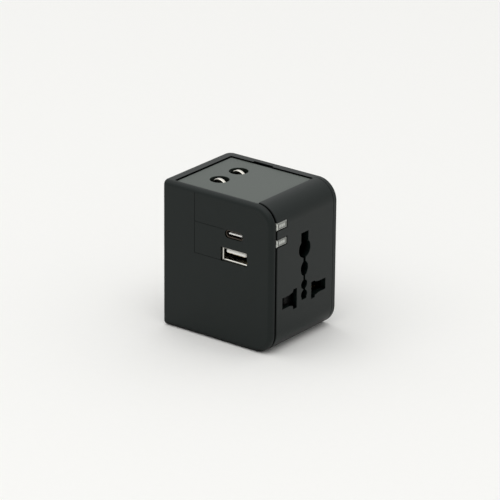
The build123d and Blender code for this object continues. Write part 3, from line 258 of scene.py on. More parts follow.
def textured(tree, shader, gloss, low, high, relief, depth_mm, strength=1.0):
    """Varies the roughness by one pattern and raises the surface by a real depth of another."""
    rough = add(
        tree, "ShaderNodeMapRange", {"To Min": low, "To Max": high, "Value": gloss}, "Result"
    )
    normal = add(
        tree,
        "ShaderNodeBump",
        {"Strength": strength, "Distance": depth_mm * MM, "Height": relief},
        "Normal",
    )
    tree.links.new(rough, shader.inputs["Roughness"])
    tree.links.new(normal, shader.inputs["Normal"])


def painted_gap_shade(tree, shader, mixed, painted_shade_reach_mm, shine):
    """Darkens colour and sheen in gaps narrower than that reach: painted shade from an occlusion
    mask.
    """
    falloff = 2.0
    open_share = add(
        tree, "ShaderNodeAmbientOcclusion", {"samples": 8, "Distance": painted_shade_reach_mm * MM}, "AO"
    )
    # The open share's square scales colour and sheen down: painted shade in narrow gaps.
    deep = add(tree, "ShaderNodeMath", {"operation": "POWER", 0: open_share, 1: falloff}, 0)
    dark = add(
        tree,
        "ShaderNodeMix",
        {"data_type": "RGBA", "blend_type": "MULTIPLY", 0: 1.0, 6: mixed, 7: deep},
        2,
    )
    gloss = add(tree, "ShaderNodeMath", {"operation": "MULTIPLY", 0: deep, 1: shine}, 0)
    tree.links.new(dark, shader.inputs["Base Color"])
    tree.links.new(gloss, shader.inputs["Specular IOR Level"])


def moulded(
    name, base, tone, rough, grain_mm, depth_mm, flow_mm, ior=1.5, shine=0.5, painted_shade_reach_mm=0.0
):
    """Injection-moulded plastic: tool grain, slow changes of tone and gloss, and painted shade in
    gaps.
    """
    made, tree, shader, where = material(
        name, {"IOR": ior, "Roughness": rough, "Specular IOR Level": shine}
    )
    mixed, _ = cloudy(tree, where, rgba(base, 1 - tone), rgba(base, 1 + tone), flow_mm)
    if painted_shade_reach_mm:
        painted_gap_shade(tree, shader, mixed, painted_shade_reach_mm, shine)
    else:
        tree.links.new(mixed, shader.inputs["Base Color"])
    grain = add(
        tree,
        "ShaderNodeTexNoise",
        {"Scale": per(grain_mm), "Detail": 2.0, "Roughness": 0.6, "Vector": where},
        "Fac",
    )
    textured(tree, shader, grain, rough - 0.06, rough + 0.08, grain, depth_mm)
    return made


def spark_eroded_plastic():
    """Black polycarbonate blend moulded in a spark-eroded tool.

    The tool's fine pits leave an even matt grain, about 0.1 mm in reality and drawn at 0.22 mm so
    that it shows, which scatters the light softly and keeps edges free of sharp glints.
    """
    # Painted shade darkens its colour and sheen in seams and grooves within 2.5 mm.
    return moulded(
        "spark_eroded_black_plastic",
        colours.casing,
        tone=0.06,
        rough=0.42,
        grain_mm=sizes.grain / MM,
        depth_mm=0.02,
        flow_mm=14.0,
        shine=0.25,
        painted_shade_reach_mm=2.5,
    )


def satin_plastic():
    """Dark polycarbonate blend from a stoned tool.

    Smoother than the casing, so it takes a broad pale sheen from the room at a low angle.
    """
    # Painted shade darkens its colour and sheen in holes and hollows within 6 mm.
    return moulded(
        "satin_dark_plastic",
        colours.panel,
        tone=0.05,
        rough=0.4,
        grain_mm=0.5,
        depth_mm=0.006,
        flow_mm=20.0,
        painted_shade_reach_mm=6.0,
    )


def inner_plastic():
    """Flame-proof black polyester moulding, as the tool leaves it.

    Slightly glossy with faint flow marks, because nobody sees it.
    """
    # Painted shade darkens its colour and sheen in hollows within 20 mm.
    return moulded(
        "moulded_black_polyester",
        colours.inner,
        tone=0.12,
        rough=0.42,
        grain_mm=0.8,
        depth_mm=0.01,
        flow_mm=9.0,
        ior=1.52,
        shine=0.3,
        painted_shade_reach_mm=20.0,
    )


def white_tongue():
    """White liquid-crystal polymer of the outlet tongues.

    Bone white with faint flow lines from the gate.
    """
    return moulded(
        "white_crystal_polymer",
        colours.tongue,
        tone=0.03,
        rough=0.42,
        grain_mm=0.35,
        depth_mm=0.008,
        flow_mm=3.0,
        ior=1.6,
    )


def chip_epoxy():
    """Black epoxy of the charge controller, transfer-moulded and slightly speckled by filler."""
    return moulded(
        "black_moulding_epoxy",
        linear("#202022"),
        tone=0.2,
        rough=0.5,
        grain_mm=0.12,
        depth_mm=0.01,
        flow_mm=0.6,
        ior=1.55,
    )


def lamp_resin():
    """Phosphor-filled silicone of the lamps: pale yellow, soft and slightly milky."""
    return moulded(
        "phosphor_silicone",
        linear("#efe3a4"),
        tone=0.06,
        rough=0.45,
        grain_mm=0.2,
        depth_mm=0.006,
        flow_mm=0.7,
        ior=1.42,
    )


def ferrite():
    """Sintered ferrite of the transformer core, ground on its faces.

    Nearly black ceramic with a fine grey speckle.
    """
    return moulded(
        "sintered_ferrite",
        linear("#3a3a3c"),
        tone=0.25,
        rough=0.6,
        grain_mm=0.3,
        depth_mm=0.015,
        flow_mm=0.5,
        ior=2.0,
    )


def capacitor_sleeve():
    """Dark blue shrink sleeve over an aluminium can: glossy with slight shrink ripples."""
    return moulded(
        "shrink_sleeve",
        colours.capacitor,
        tone=0.08,
        rough=0.28,
        grain_mm=1.1,
        depth_mm=0.02,
        flow_mm=2.5,
        ior=1.54,
    )


def smoked_window(name="diffusing_grey_polycarbonate", tint=1.0):
    """Smoke-grey diffusing polycarbonate, moulded and polished.

    It looks milky grey with a soft gloss, because light scatters below its surface, and painted
    shade darkens it in the fine grooves between its ribs.
    """
    made, tree, shader, where = material(
        name,
        {
            "IOR": 1.58,
            "Roughness": 0.3,
            "Subsurface Weight": 0.25,
            "Subsurface Radius": (1.0, 1.0, 0.9),
            "Subsurface Scale": 0.6 * MM,
        },
    )
    dark, pale = rgba(colours.window, 0.93 * tint), rgba(colours.window, 1.05 * tint)
    mixed, haze = cloudy(tree, where, dark, pale, 1.6)
    painted_gap_shade(tree, shader, mixed, painted_shade_reach_mm=0.8, shine=0.5)
    textured(tree, shader, haze, 0.26, 0.4, haze, depth_mm=0.01, strength=0.4)
    return made


def painted_highlight_end():
    """The end facet of a light guide: the same plastic made paler, a painted highlight."""
    return smoked_window("grey_polycarbonate_painted_highlight", 2.2)


def plated(name, base, rough, wear_mm, streak_mm, axis):
    """Plated metal: nearly smooth, with faint streaks along the way it was stamped or drawn."""
    made, tree, shader, where = material(name, {"Metallic": 1.0, "Roughness": rough})
    streak_share = 0.06
    stretch = [1.0, 1.0, 1.0]
    stretch[axis] = streak_share
    drawn = add(tree, "ShaderNodeMapping", {"Scale": tuple(stretch), "Vector": where}, "Vector")
    settings = {"Scale": per(streak_mm), "Detail": 4.0, "Vector": drawn}
    streaks = add(tree, "ShaderNodeTexNoise", settings, "Fac")
    mixed, wear = cloudy(tree, where, rgba(base, 0.88), rgba(base, 1.04), wear_mm)
    both = add(tree, "ShaderNodeMath", {"operation": "MULTIPLY", 0: streaks, 1: wear}, 0)
    tree.links.new(mixed, shader.inputs["Base Color"])
    low, high = rough - 0.06, rough + 0.2
    textured(tree, shader, both, low, high, streaks, depth_mm=0.004, strength=0.6)
    return made


def nickel_plate():
    """Nickel-plated brass blades and pins, stamped or turned and then tumbled.

    Warm silver with fine streaks along the blade and soft, rounded glints.
    """
    return plated(
        "nickel_plated_brass", colours.nickel, rough=0.2, wear_mm=2.2, streak_mm=0.25, axis=2
    )


def brass_strip():
    """Half-hard rolled brass strip of the bus bars and contacts.

    Yellow with rolling streaks and a slightly dulled skin.
    """
    return plated(
        "rolled_brass_strip", colours.brass, rough=0.3, wear_mm=3.0, streak_mm=0.3, axis=2
    )


def zinc_screw():
    """Zinc-plated steel of the screws and clips: cool grey with a faintly mottled skin."""
    return plated("zinc_plated_steel", colours.steel, rough=0.3, wear_mm=0.9, streak_mm=0.2, axis=1)


def outlet_shell():
    """Nickel-plated steel sheet of the outlets, bent to shape: bright and slightly warm."""
    return plated(
        "bent_nickel_plated_steel", colours.outlet, rough=0.16, wear_mm=2.0, streak_mm=0.25, axis=0
    )


def drawn_steel_painted_shade():
    """Deep-drawn steel of the small outlet, left unpolished: dull and brownish, its darkness
    painted shade.
    """
    return plated(
        "deep_drawn_steel_painted_shade", linear("#4b443e"), rough=0.45, wear_mm=1.5, streak_mm=0.25, axis=1
    )


def gold_plate():
    """Flash-gold plating of the outlet contacts: soft yellow glints on small springs."""
    return plated("flash_gold_plate", colours.gold, rough=0.22, wear_mm=0.8, streak_mm=0.15, axis=1)


def solder_mask():
    """Glass-fibre board under green solder mask, printed and cured.

    Copper tracks show as slightly raised, lighter bands below the glossy mask, 0.64 mm wide on
    top and about 1 mm at the foot.
    """
    cell_mm, track_mm, foot_mm = 3.2, 0.64, 1.024
    made, tree, shader, where = material(
        "green_solder_mask", {"IOR": 1.55, "Roughness": 0.3, "Coat Weight": 0.2}
    )
    settings = {"feature": "DISTANCE_TO_EDGE", "Scale": per(cell_mm), "Vector": where}
    aside = add(tree, "ShaderNodeTexVoronoi", settings, "Distance")
    settings = {
        "From Min": track_mm / 2 / cell_mm,
        "From Max": foot_mm / 2 / cell_mm,
        "To Min": 1.0,
        "To Max": 0.0,
        "Value": aside,
    }
    copper = add(tree, "ShaderNodeMapRange", settings, "Result")
    bare, raised = rgba(colours.board, 0.75), rgba(colours.board, 1.5)
    mixed = add(tree, "ShaderNodeMix", {"data_type": "RGBA", 6: bare, 7: raised, 0: copper}, 2)
    settings = {"Scale": per(1.4), "Detail": 2.0, "Vector": where}
    skin = add(tree, "ShaderNodeTexNoise", settings, "Fac")
    tree.links.new(mixed, shader.inputs["Base Color"])
    textured(tree, shader, skin, 0.24, 0.38, copper, depth_mm=0.03, strength=0.7)
    return made


def winding_tape():
    """Yellow polyester tape round the winding.

    Smooth and glossy, drifting a little darker in soft patches.
    """
    made, tree, shader, where = material(
        "yellow_polyester_tape", {"IOR": 1.6, "Roughness": 0.3, "Coat Weight": 0.3}
    )
    mixed, folds = cloudy(tree, where, rgba(colours.tape, 0.8), rgba(colours.tape, 1.05), 1.8)
    tree.links.new(mixed, shader.inputs["Base Color"])
    textured(tree, shader, folds, 0.22, 0.4, folds, depth_mm=0.03, strength=0.5)
    return made


def fuse_tube():
    """Drawn glass tube of the fuse, clear with a slight green tint and drawing lines."""
    made, tree, shader, where = material(
        "drawn_fuse_glass",
        {"IOR": 1.52, "Roughness": 0.03, "Transmission Weight": 1.0},
    )
    green, clear = rgba(linear("#dfeae6")), rgba(linear("#f4faf8"))
    mixed, lines = cloudy(tree, where, green, clear, 2.0)
    tree.links.new(mixed, shader.inputs["Base Color"])
    textured(tree, shader, lines, 0.02, 0.07, lines, depth_mm=0.004, strength=0.3)
    return made


FINISHES = {
    "casing_plastic": spark_eroded_plastic,
    "panel_plastic": satin_plastic,
    "inner_plastic": inner_plastic,
    "slider_plastic": spark_eroded_plastic,
    "window_plastic": smoked_window,
    "plated_blade": nickel_plate,
    "brass_strip": brass_strip,
    "steel": zinc_screw,
    "outlet_shell": outlet_shell,
    "white_plastic": white_tongue,
    "board": solder_mask,
    "chip": chip_epoxy,
    "lamp": lamp_resin,
    "ferrite": ferrite,
    "tape": winding_tape,
    "capacitor": capacitor_sleeve,
    "fuse_glass": fuse_tube,
    "gold_contact": gold_plate,
    "painted_highlight_end": painted_highlight_end,
    "drawn_steel_painted_shade": drawn_steel_painted_shade,
}
finished = {}


def finish_for(slot):
    """The finish of a material slot, made once."""
    if slot not in finished:
        finished[slot] = FINISHES[slot]()
    return finished[slot]


# Mesh tools

# Steps of a rounded edge, more of them where it is wide or near the eye
FINE, PLAIN, SLIGHT, SINGLE = 4, 3, 2, 1

# A face looks along an axis when its normal's share of it is larger, and across when smaller
ALONG, ACROSS = 0.99, 0.1

node_slot = {name: node.data.materials[0].name for name, node in frame["nodes"].items()}


def settle(obj, node, slot=None):
    """Puts a piece on the body of the node that it stands for and gives it that slot's finish."""
    slot = slot or node_slot[node]
    if not obj.data.materials:
        obj.data.materials.append(finish_for(slot))
    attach(obj, frame["nodes"][node]["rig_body"])
    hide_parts(node)
    return obj


def linked(name, mesh):
    """An object with that mesh in the scene, at the origin."""
    obj = bpy.data.objects.new(name, mesh)
    bpy.context.scene.collection.objects.link(obj)
    return obj


def piece_from(bm, name):
    """Turns a bmesh into a linked object at the origin."""
    mesh = bpy.data.meshes.new(name)
    bm.to_mesh(mesh)
    bm.free()
    return linked(name, mesh)


def merged(node):
    """A bmesh copy of a CAD node, with its triangles joined and its flat faces made whole."""
    bm = bmesh.new()
    bm.from_mesh(frame["nodes"][node].data)
    same_place, same_plane = 1e-6, math.radians(0.5)
    bmesh.ops.remove_doubles(bm, verts=bm.verts, dist=same_place)
    bmesh.ops.dissolve_limit(bm, angle_limit=same_plane, verts=bm.verts, edges=bm.edges)
    return bm


def smooth(obj, degrees):
    """Shades an object smooth, apart from the edges that turn by more than that angle."""
    obj.data.shade_smooth()
    obj.data.set_sharp_from_angle(angle=math.radians(degrees))


def round_edges(obj, width, segments=PLAIN, degrees=28.0):
    """Rounds an object's sharp edges and shades it smooth."""
    rounding = obj.modifiers.new("Edge rounding", "BEVEL")
    rounding.width = width
    rounding.segments = segments
    rounding.limit_method = "ANGLE"
    rounding.angle_limit = math.radians(degrees)
    rounding.miter_outer = "MITER_ARC"
    rounding.harden_normals = True
    smooth(obj, degrees)
    flatness = obj.modifiers.new("Flat faces stay flat", "WEIGHTED_NORMAL")
    flatness.keep_sharp = True
    return obj


def refined(node, work, width, segments=PLAIN):
    """A finer piece from a CAD node's own outline, named for the work that gives it its shape."""
    obj = piece_from(merged(node), f"{node}_{work}")
    round_edges(obj, width, segments)
    return settle(obj, node)


def beyond(node, place, side):
    """The part of a CAD node past a place along Y, to the side with that sign, closed there."""
    bm = merged(node)
    cut = bmesh.ops.bisect_plane(
        bm,
        geom=[*bm.verts, *bm.edges, *bm.faces],
        dist=1e-7,
        plane_co=(0.0, place, 0.0),
        plane_no=(0.0, side, 0.0),
        clear_inner=True,
    )
    rim = [item for item in cut["geom_cut"] if isinstance(item, bmesh.types.BMEdge)]
    bmesh.ops.edgeloop_fill(bm, edges=rim)
    bmesh.ops.recalc_face_normals(bm, faces=bm.faces)
    return bm


def rounded_outline(width, height, corner):
    """Points round a rectangle with round corners, centred on the origin."""
    steps = 6
    points = []
    for turn in range(4):
        cx = (width / 2 - corner) * (1 if turn in (0, 3) else -1)
        cz = (height / 2 - corner) * (1 if turn in (0, 1) else -1)
        for step in range(steps + 1):
            bearing = math.radians(90 * (turn + step / steps))
            points.append((cx + corner * math.cos(bearing), cz + corner * math.sin(bearing)))
    return points


def rolled_lip(node, wall, lip, corner):
    """A ring just inside the mouth of an outlet's shell, where its sheet is rolled inwards."""
    low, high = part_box(node)
    middle_x, middle_z = (low.x + high.x) / 2, (low.z + high.z) / 2
    smallest_corner = 0.1 * MM
    # How far each loop of the ring lies in from the wall and back from the mouth, in lips
    loops = ((0.0, 0.0), (0.35, 0.12), (1.0, 0.8), (0.0, 2.4))
    bm = bmesh.new()
    rings = []
    for inward, depth in loops:
        inset = wall + inward * lip
        outline = rounded_outline(
            high.x - low.x - 2 * inset,
            high.z - low.z - 2 * inset,
            max(corner - inset, smallest_corner),
        )
        rings.append(
            [bm.verts.new((middle_x + x, low.y + depth * lip, middle_z + z)) for x, z in outline]
        )
    for first, second in zip(rings, (*rings[1:], rings[0])):
        for i in range(len(first)):
            j = (i + 1) % len(first)
            bm.faces.new((first[i], first[j], second[j], second[i]))
    bmesh.ops.recalc_face_normals(bm, faces=bm.faces)
    return bm


def joined(obj, extra):
    """Joins another object's mesh into a piece."""
    bm = bmesh.new()
    bm.from_mesh(obj.data)
    bm.from_mesh(extra.data)
    bm.to_mesh(obj.data)
    bm.free()
    bpy.data.objects.remove(extra)
    return obj


# Node trees for what repeats


def new_tree(name, *labels):
    """A geometry tree with those named inputs, most of them lengths, and its given values."""
    kinds = {"Count": "Int", "Turn": "Rotation", "Finish": "Material"}
    tree = bpy.data.node_groups.new(name, "GeometryNodeTree")
    tree.interface.new_socket("Geometry", in_out="INPUT", socket_type="NodeSocketGeometry")
    for label in labels:
        kind = kinds.get(label, "Float")
        tree.interface.new_socket(label, in_out="INPUT", socket_type=f"NodeSocket{kind}")
    tree.interface.new_socket("Geometry", in_out="OUTPUT", socket_type="NodeSocketGeometry")
    return tree, add(tree, "NodeGroupInput").outputs


def in_row(tree, given, axis, shape):
    """Copies of a shape in a row along an axis, by the tree's count and pitch."""
    step = add(tree, "ShaderNodeCombineXYZ", {axis: given["Pitch"]}, 0)
    row = add(tree, "GeometryNodeMeshLine", {"Count": given["Count"], "Offset": step}, "Mesh")
    settings = {"Points": row, "Instance": shape}
    return add(tree, "GeometryNodeInstanceOnPoints", settings, "Instances")


def close_tree(tree, given, shape):
    """Puts the shape on each given point and makes it real geometry with the given finish."""
    settings = {"Points": given["Geometry"], "Instance": shape}
    if "Turn" in given:
        settings["Rotation"] = given["Turn"]
    sites = add(tree, "GeometryNodeInstanceOnPoints", settings, "Instances")
    real = add(tree, "GeometryNodeRealizeInstances", {"Geometry": sites}, "Geometry")
    settings = {"Geometry": real, "Material": given["Finish"]}
    coat = add(tree, "GeometryNodeSetMaterial", settings, "Geometry")
    add(tree, "NodeGroupOutput", {"Geometry": coat})
    return tree


def grown(name, tree, values, points):
    """Runs a tree on a holder with those points and keeps the result as a plain mesh."""
    mesh = bpy.data.meshes.new(name)
    mesh.from_pydata([Vector(p) for p in points], [], [])
    holder = linked(name, mesh)
    layout = holder.modifiers.new("Layout", "NODES")
    layout.node_group = tree
    for item in tree.interface.items_tree:
        if item.in_out == "INPUT" and item.name in values:
            layout[item.identifier] = values[item.name]
    graph = bpy.context.evaluated_depsgraph_get()
    made = bpy.data.meshes.new_from_object(
        holder.evaluated_get(graph), preserve_all_data_layers=True, depsgraph=graph
    )
    holder.modifiers.remove(layout)
    holder.data = made
    if not made.polygons:
        raise RuntimeError(f"{name}: its tree made no faces")
    return holder


def bar_tree():
    """Rounded bars along X in a row along Z, such as the grip ribs of a thumb slider."""
    tree, given = new_tree(
        "Grip ribs", "Length", "Width", "Height", "Pitch", "Count", "Turn", "Finish"
    )
    half = add(tree, "ShaderNodeMath", {"operation": "MULTIPLY", 0: given["Length"], 1: 0.5}, 0)
    back = add(tree, "ShaderNodeMath", {"operation": "MULTIPLY", 0: half, 1: -1.0}, 0)
    start = add(tree, "ShaderNodeCombineXYZ", {"X": back}, 0)
    end = add(tree, "ShaderNodeCombineXYZ", {"X": half}, 0)
    settings = {"mode": "POINTS", "Start": start, "End": end}
    spine = add(tree, "GeometryNodeCurvePrimitiveLine", settings, "Curve")
    settings = {"Resolution": 16, "Radius": 0.5}
    ring = add(tree, "GeometryNodeCurvePrimitiveCircle", settings, "Curve")
    settings = {"X": given["Width"], "Y": given["Height"], "Z": 1.0}
    extent = add(tree, "ShaderNodeCombineXYZ", settings, 0)
    profile = add(tree, "GeometryNodeTransform", {"Geometry": ring, "Scale": extent}, "Geometry")
    settings = {"Fill Caps": True, "Curve": spine, "Profile Curve": profile}
    rib = add(tree, "GeometryNodeCurveToMesh", settings, "Mesh")
    row = in_row(tree, given, "Z", rib)
    gaps = add(tree, "ShaderNodeMath", {"operation": "SUBTRACT", 0: given["Count"], 1: 1.0}, 0)
    reach = add(tree, "ShaderNodeMath", {"operation": "MULTIPLY", 0: gaps, 1: given["Pitch"]}, 0)
    drop = add(tree, "ShaderNodeMath", {"operation": "MULTIPLY", 0: reach, 1: -0.5}, 0)
    down = add(tree, "ShaderNodeCombineXYZ", {"Z": drop}, 0)
    centred = add(tree, "GeometryNodeTransform", {"Geometry": row, "Translation": down}, "Geometry")
    return close_tree(tree, given, centred)


def spring_tree():
    """Contact springs side by side along X, each a thin strip along Y that bows down."""
    tree, given = new_tree(
        "Contact springs", "Length", "Width", "Sheet", "Bow", "Pitch", "Count", "Finish"
    )
    length = given["Length"]
    # The curve's handles stand at these shares of its length, so it bows most in its near half
    near_share, far_share = 0.2, 0.5
    near = add(tree, "ShaderNodeMath", {"operation": "MULTIPLY", 0: length, 1: near_share}, 0)
    far = add(tree, "ShaderNodeMath", {"operation": "MULTIPLY", 0: length, 1: far_share}, 0)
    dip = add(tree, "ShaderNodeMath", {"operation": "MULTIPLY", 0: given["Bow"], 1: -1.0}, 0)
    first = add(tree, "ShaderNodeCombineXYZ", {"Y": near, "Z": dip}, 0)
    second = add(tree, "ShaderNodeCombineXYZ", {"Y": far, "Z": dip}, 0)
    end = add(tree, "ShaderNodeCombineXYZ", {"Y": length}, 0)
    path = add(
        tree,
        "GeometryNodeCurvePrimitiveBezierSegment",
        {
            "mode": "POSITION",
            "Resolution": 12,
            "Start": (0.0, 0.0, 0.0),
            "Start Handle": first,
            "End Handle": second,
            "End": end,
        },
        "Curve",
    )
    settings = {"Width": given["Width"], "Height": given["Sheet"]}
    strip = add(tree, "GeometryNodeCurvePrimitiveQuadrilateral", settings, "Curve")
    settings = {"Fill Caps": True, "Curve": path, "Profile Curve": strip}
    spring = add(tree, "GeometryNodeCurveToMesh", settings, "Mesh")
    return close_tree(tree, given, in_row(tree, given, "X", spring))


def turn_tree():
    """Turns of wire in a row along Z, each a rounded rectangle, as on a wound bobbin."""
    tree, given = new_tree(
        "Wire turns", "Span X", "Span Y", "Corner", "Wire", "Pitch", "Count", "Finish"
    )
    settings = {"Width": given["Span X"], "Height": given["Span Y"]}
    loop = add(tree, "GeometryNodeCurvePrimitiveQuadrilateral", settings, "Curve")
    settings = {"mode": "POLY", "Count": 5, "Curve": loop, "Radius": given["Corner"]}
    soft = add(tree, "GeometryNodeFilletCurve", settings, "Curve")
    half = add(tree, "ShaderNodeMath", {"operation": "MULTIPLY", 0: given["Wire"], 1: 0.5}, 0)
    settings = {"Resolution": 8, "Radius": half}
    ring = add(tree, "GeometryNodeCurvePrimitiveCircle", settings, "Curve")
    turn = add(tree, "GeometryNodeCurveToMesh", {"Curve": soft, "Profile Curve": ring}, "Mesh")
    return close_tree(tree, given, in_row(tree, given, "Z", turn))


def screw_tree():
    """Screws along +Z on each point: a flat head with a cross recess and a threaded shank."""
    tree, given = new_tree(
        "Cross-head screws",
        "Head radius",
        "Head height",
        "Shank radius",
        "Length",
        "Cross",
        "Turn",
        "Finish",
    )
    radius, height, cross = given["Head radius"], given["Head height"], given["Cross"]
    # Every second point of the shank is a crest, and the cross spans this share of the radius
    thread_points, thread_depth, cross_share = 41, 0.16, 1.25
    settings = {"Vertices": 32, "Radius": radius, "Depth": height}
    head = add(tree, "GeometryNodeMeshCylinder", settings, "Mesh")
    half = add(tree, "ShaderNodeMath", {"operation": "MULTIPLY", 0: height, 1: 0.5}, 0)
    lift = add(tree, "ShaderNodeCombineXYZ", {"Z": half}, 0)
    seated = add(tree, "GeometryNodeTransform", {"Geometry": head, "Translation": lift}, "Geometry")
    arm = add(tree, "ShaderNodeMath", {"operation": "MULTIPLY", 0: radius, 1: cross_share}, 0)
    cutters = []
    for x, y in ((arm, cross), (cross, arm)):
        extent = add(tree, "ShaderNodeCombineXYZ", {"X": x, "Y": y, "Z": height}, 0)
        cutters.append(add(tree, "GeometryNodeMeshCube", {"Size": extent}, "Mesh"))
    settings = {"operation": "DIFFERENCE", "solver": "EXACT", "Mesh 1": seated, "Mesh 2": cutters}
    cut = add(tree, "GeometryNodeMeshBoolean", settings, "Mesh")
    settings = {"Resolution": 20, "Radius": given["Shank radius"]}
    ring = add(tree, "GeometryNodeCurvePrimitiveCircle", settings, "Curve")
    tip = add(tree, "ShaderNodeCombineXYZ", {"Z": given["Length"]}, 0)
    settings = {"mode": "POINTS", "Start": lift, "End": tip}
    spine = add(tree, "GeometryNodeCurvePrimitiveLine", settings, "Curve")
    settings = {"mode": "COUNT", "Count": thread_points, "Curve": spine}
    fine = add(tree, "GeometryNodeResampleCurve", settings, "Curve")
    index = add(tree, "GeometryNodeInputIndex", give="Index")
    crest = add(tree, "ShaderNodeMath", {"operation": "MODULO", 0: index, 1: 2.0}, 0)
    settings = {"operation": "MULTIPLY_ADD", 0: crest, 1: thread_depth, 2: 1 - thread_depth}
    swell = add(tree, "ShaderNodeMath", settings, 0)
    settings = {"Fill Caps": True, "Curve": fine, "Profile Curve": ring, "Scale": swell}
    shank = add(tree, "GeometryNodeCurveToMesh", settings, "Mesh")
    whole = add(tree, "GeometryNodeJoinGeometry", {"Geometry": [cut, shank]}, "Geometry")
    return close_tree(tree, given, whole)


def placed_row(name, bars, values, turn, place):
    """A row from the tree of bars, turned and put in its place."""
    obj = grown(name, bars, {**values, "Turn": turn}, (place,))
    smooth(obj, degrees=40.0)
    return obj


# Operators


class ADAPTER_OT_casing(bpy.types.Operator):
    """Build the shell and the front cover with rounded moulded edges"""

    bl_idname = "adapter.casing"
    bl_label = "Casing"

    def execute(self, context):
        bm = merged("outer_shell")
        high, seam_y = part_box("outer_shell")[1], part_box("front_cover")[0].y
        seam = [edge for edge in bm.edges if self.on_seam(edge, high, seam_y)]
        if not seam:
            raise RuntimeError("outer_shell: no edge lies on the seam")
        bmesh.ops.bevel(
            bm, geom=seam, offset=sizes.seam_edge, segments=FINE, profile=0.5, affect="EDGES"
        )
        shell = piece_from(bm, "outer_shell_moulded")
        settle(round_edges(shell, sizes.casing_edge, FINE), "outer_shell")
        refined("front_cover", "moulded", sizes.casing_edge, FINE)
        return {"FINISHED"}

    def on_seam(self, edge, high, seam_y):
        """Whether an edge ends the USB side plate at the seam, on the front or a corner's arc."""
        inner = [f for f in edge.link_faces if f.normal.y > ALONG]
        outer = [f for f in edge.link_faces if abs(f.normal.y) < ACROSS]
        if len(inner) != 1 or len(outer) != 1:
            return False
        middle = (edge.verts[0].co + edge.verts[1].co) / 2
        arc, seam_margin = sizes.casing_corner, 1.0 * MM
        slack = arc / 50
        across = max(0.0, middle.x - (high.x - arc))
        up = max(0.0, abs(middle.z - high.z / 2) - (high.z / 2 - arc))
        on_profile = across > slack and math.hypot(across, up) > arc - slack
        return on_profile and middle.y < seam_y + seam_margin


class ADAPTER_OT_panels(bpy.types.Operator):
    """Build the sunk top and bottom panels"""

    bl_idname = "adapter.panels"
    bl_label = "Panels"

    def execute(self, context):
        for node in ("top_panel", "bottom_panel"):
            refined(node, "moulded", sizes.panel_edge)
        return {"FINISHED"}


class ADAPTER_OT_windows(bpy.types.Operator):
    """Build the grey light guides of the charge lights"""

    bl_idname = "adapter.windows"
    bl_label = "Charge lights"

    def execute(self, context):
        bars = bar_tree()
        for node in ("light_guide_lower", "light_guide_upper"):
            self.guide(node, bars)
        refined("light_board", "etched", sizes.light_board_edge, SINGLE)
        refined("lamps", "cast", sizes.lamp_edge)
        return {"FINISHED"}

    def split(self, bm, face, place):
        """Cuts a face across at a place along Y and gives its two parts, the near one first."""
        cut = bmesh.ops.bisect_plane(
            bm,
            geom=[face, *face.edges, *face.verts],
            plane_co=(0.0, place, 0.0),
            plane_no=(0.0, 1.0, 0.0),
        )
        parts = [item for item in cut["geom"] if isinstance(item, bmesh.types.BMFace)]
        return sorted(parts, key=lambda f: f.calc_center_median().y)

    def guide(self, node, bars):
        """A light guide with a frame round a sunk, finely ribbed face beside the seam."""
        low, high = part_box(node)
        middle = (low + high) / 2
        frame_width, sunk, facet_width, line_width = 0.35 * MM, 0.22 * MM, 0.4 * MM, 0.3 * MM
        seam_gap, side_gap, rise_gap = 0.35 * MM, 0.2 * MM, 0.14 * MM
        line_taper, line_depth = 0.02 * MM, 0.5 * MM
        flute_end_gap = 3 * frame_width
        facing_out = 0.2
        bm = merged(node)
        for vert in bm.verts:
            vert.co.y += seam_gap if vert.co.y < middle.y else -side_gap
            vert.co.z -= math.copysign(rise_gap, vert.co.z - middle.z)
        front = max(
            (f for f in bm.faces if f.normal.x > ALONG), key=lambda f: f.calc_center_median().x
        )
        start = min(vert.co.y for vert in front.verts) + facet_width
        rest = self.split(bm, front, start)[1]
        line, main_face = self.split(bm, rest, start + line_width)
        main_y = main_face.calc_center_median().y
        # The narrow facet by the seam takes the paler copy of this plastic: a painted highlight.
        for face in bm.faces:
            if face.normal.x > facing_out and face.calc_center_median().y < start:
                face.material_index = 1
        bmesh.ops.inset_individual(bm, faces=[line], thickness=line_taper, depth=-line_depth)
        bmesh.ops.inset_individual(bm, faces=[main_face], thickness=frame_width, depth=-sunk)
        obj = piece_from(bm, f"{node}_polished")
        obj.data.materials.append(finish_for(node_slot[node]))
        obj.data.materials.append(finish_for("painted_highlight_end"))
        round_edges(obj, sizes.window_edge, SLIGHT)
        flutes = placed_row(
            f"{node}_flutes",
            bars,
            {
                "Length": high.z - low.z - 2 * flute_end_gap,
                "Width": 2 * sizes.flute_height,
                "Height": sizes.flute_width,
                "Pitch": sizes.flute_pitch,
                "Count": sizes.flute_count,
                "Finish": finish_for(node_slot[node]),
            },
            (math.radians(-90.0), math.radians(-90.0), 0.0),
            (high.x - sunk, main_y, middle.z),
        )
        settle(joined(obj, flutes), node)


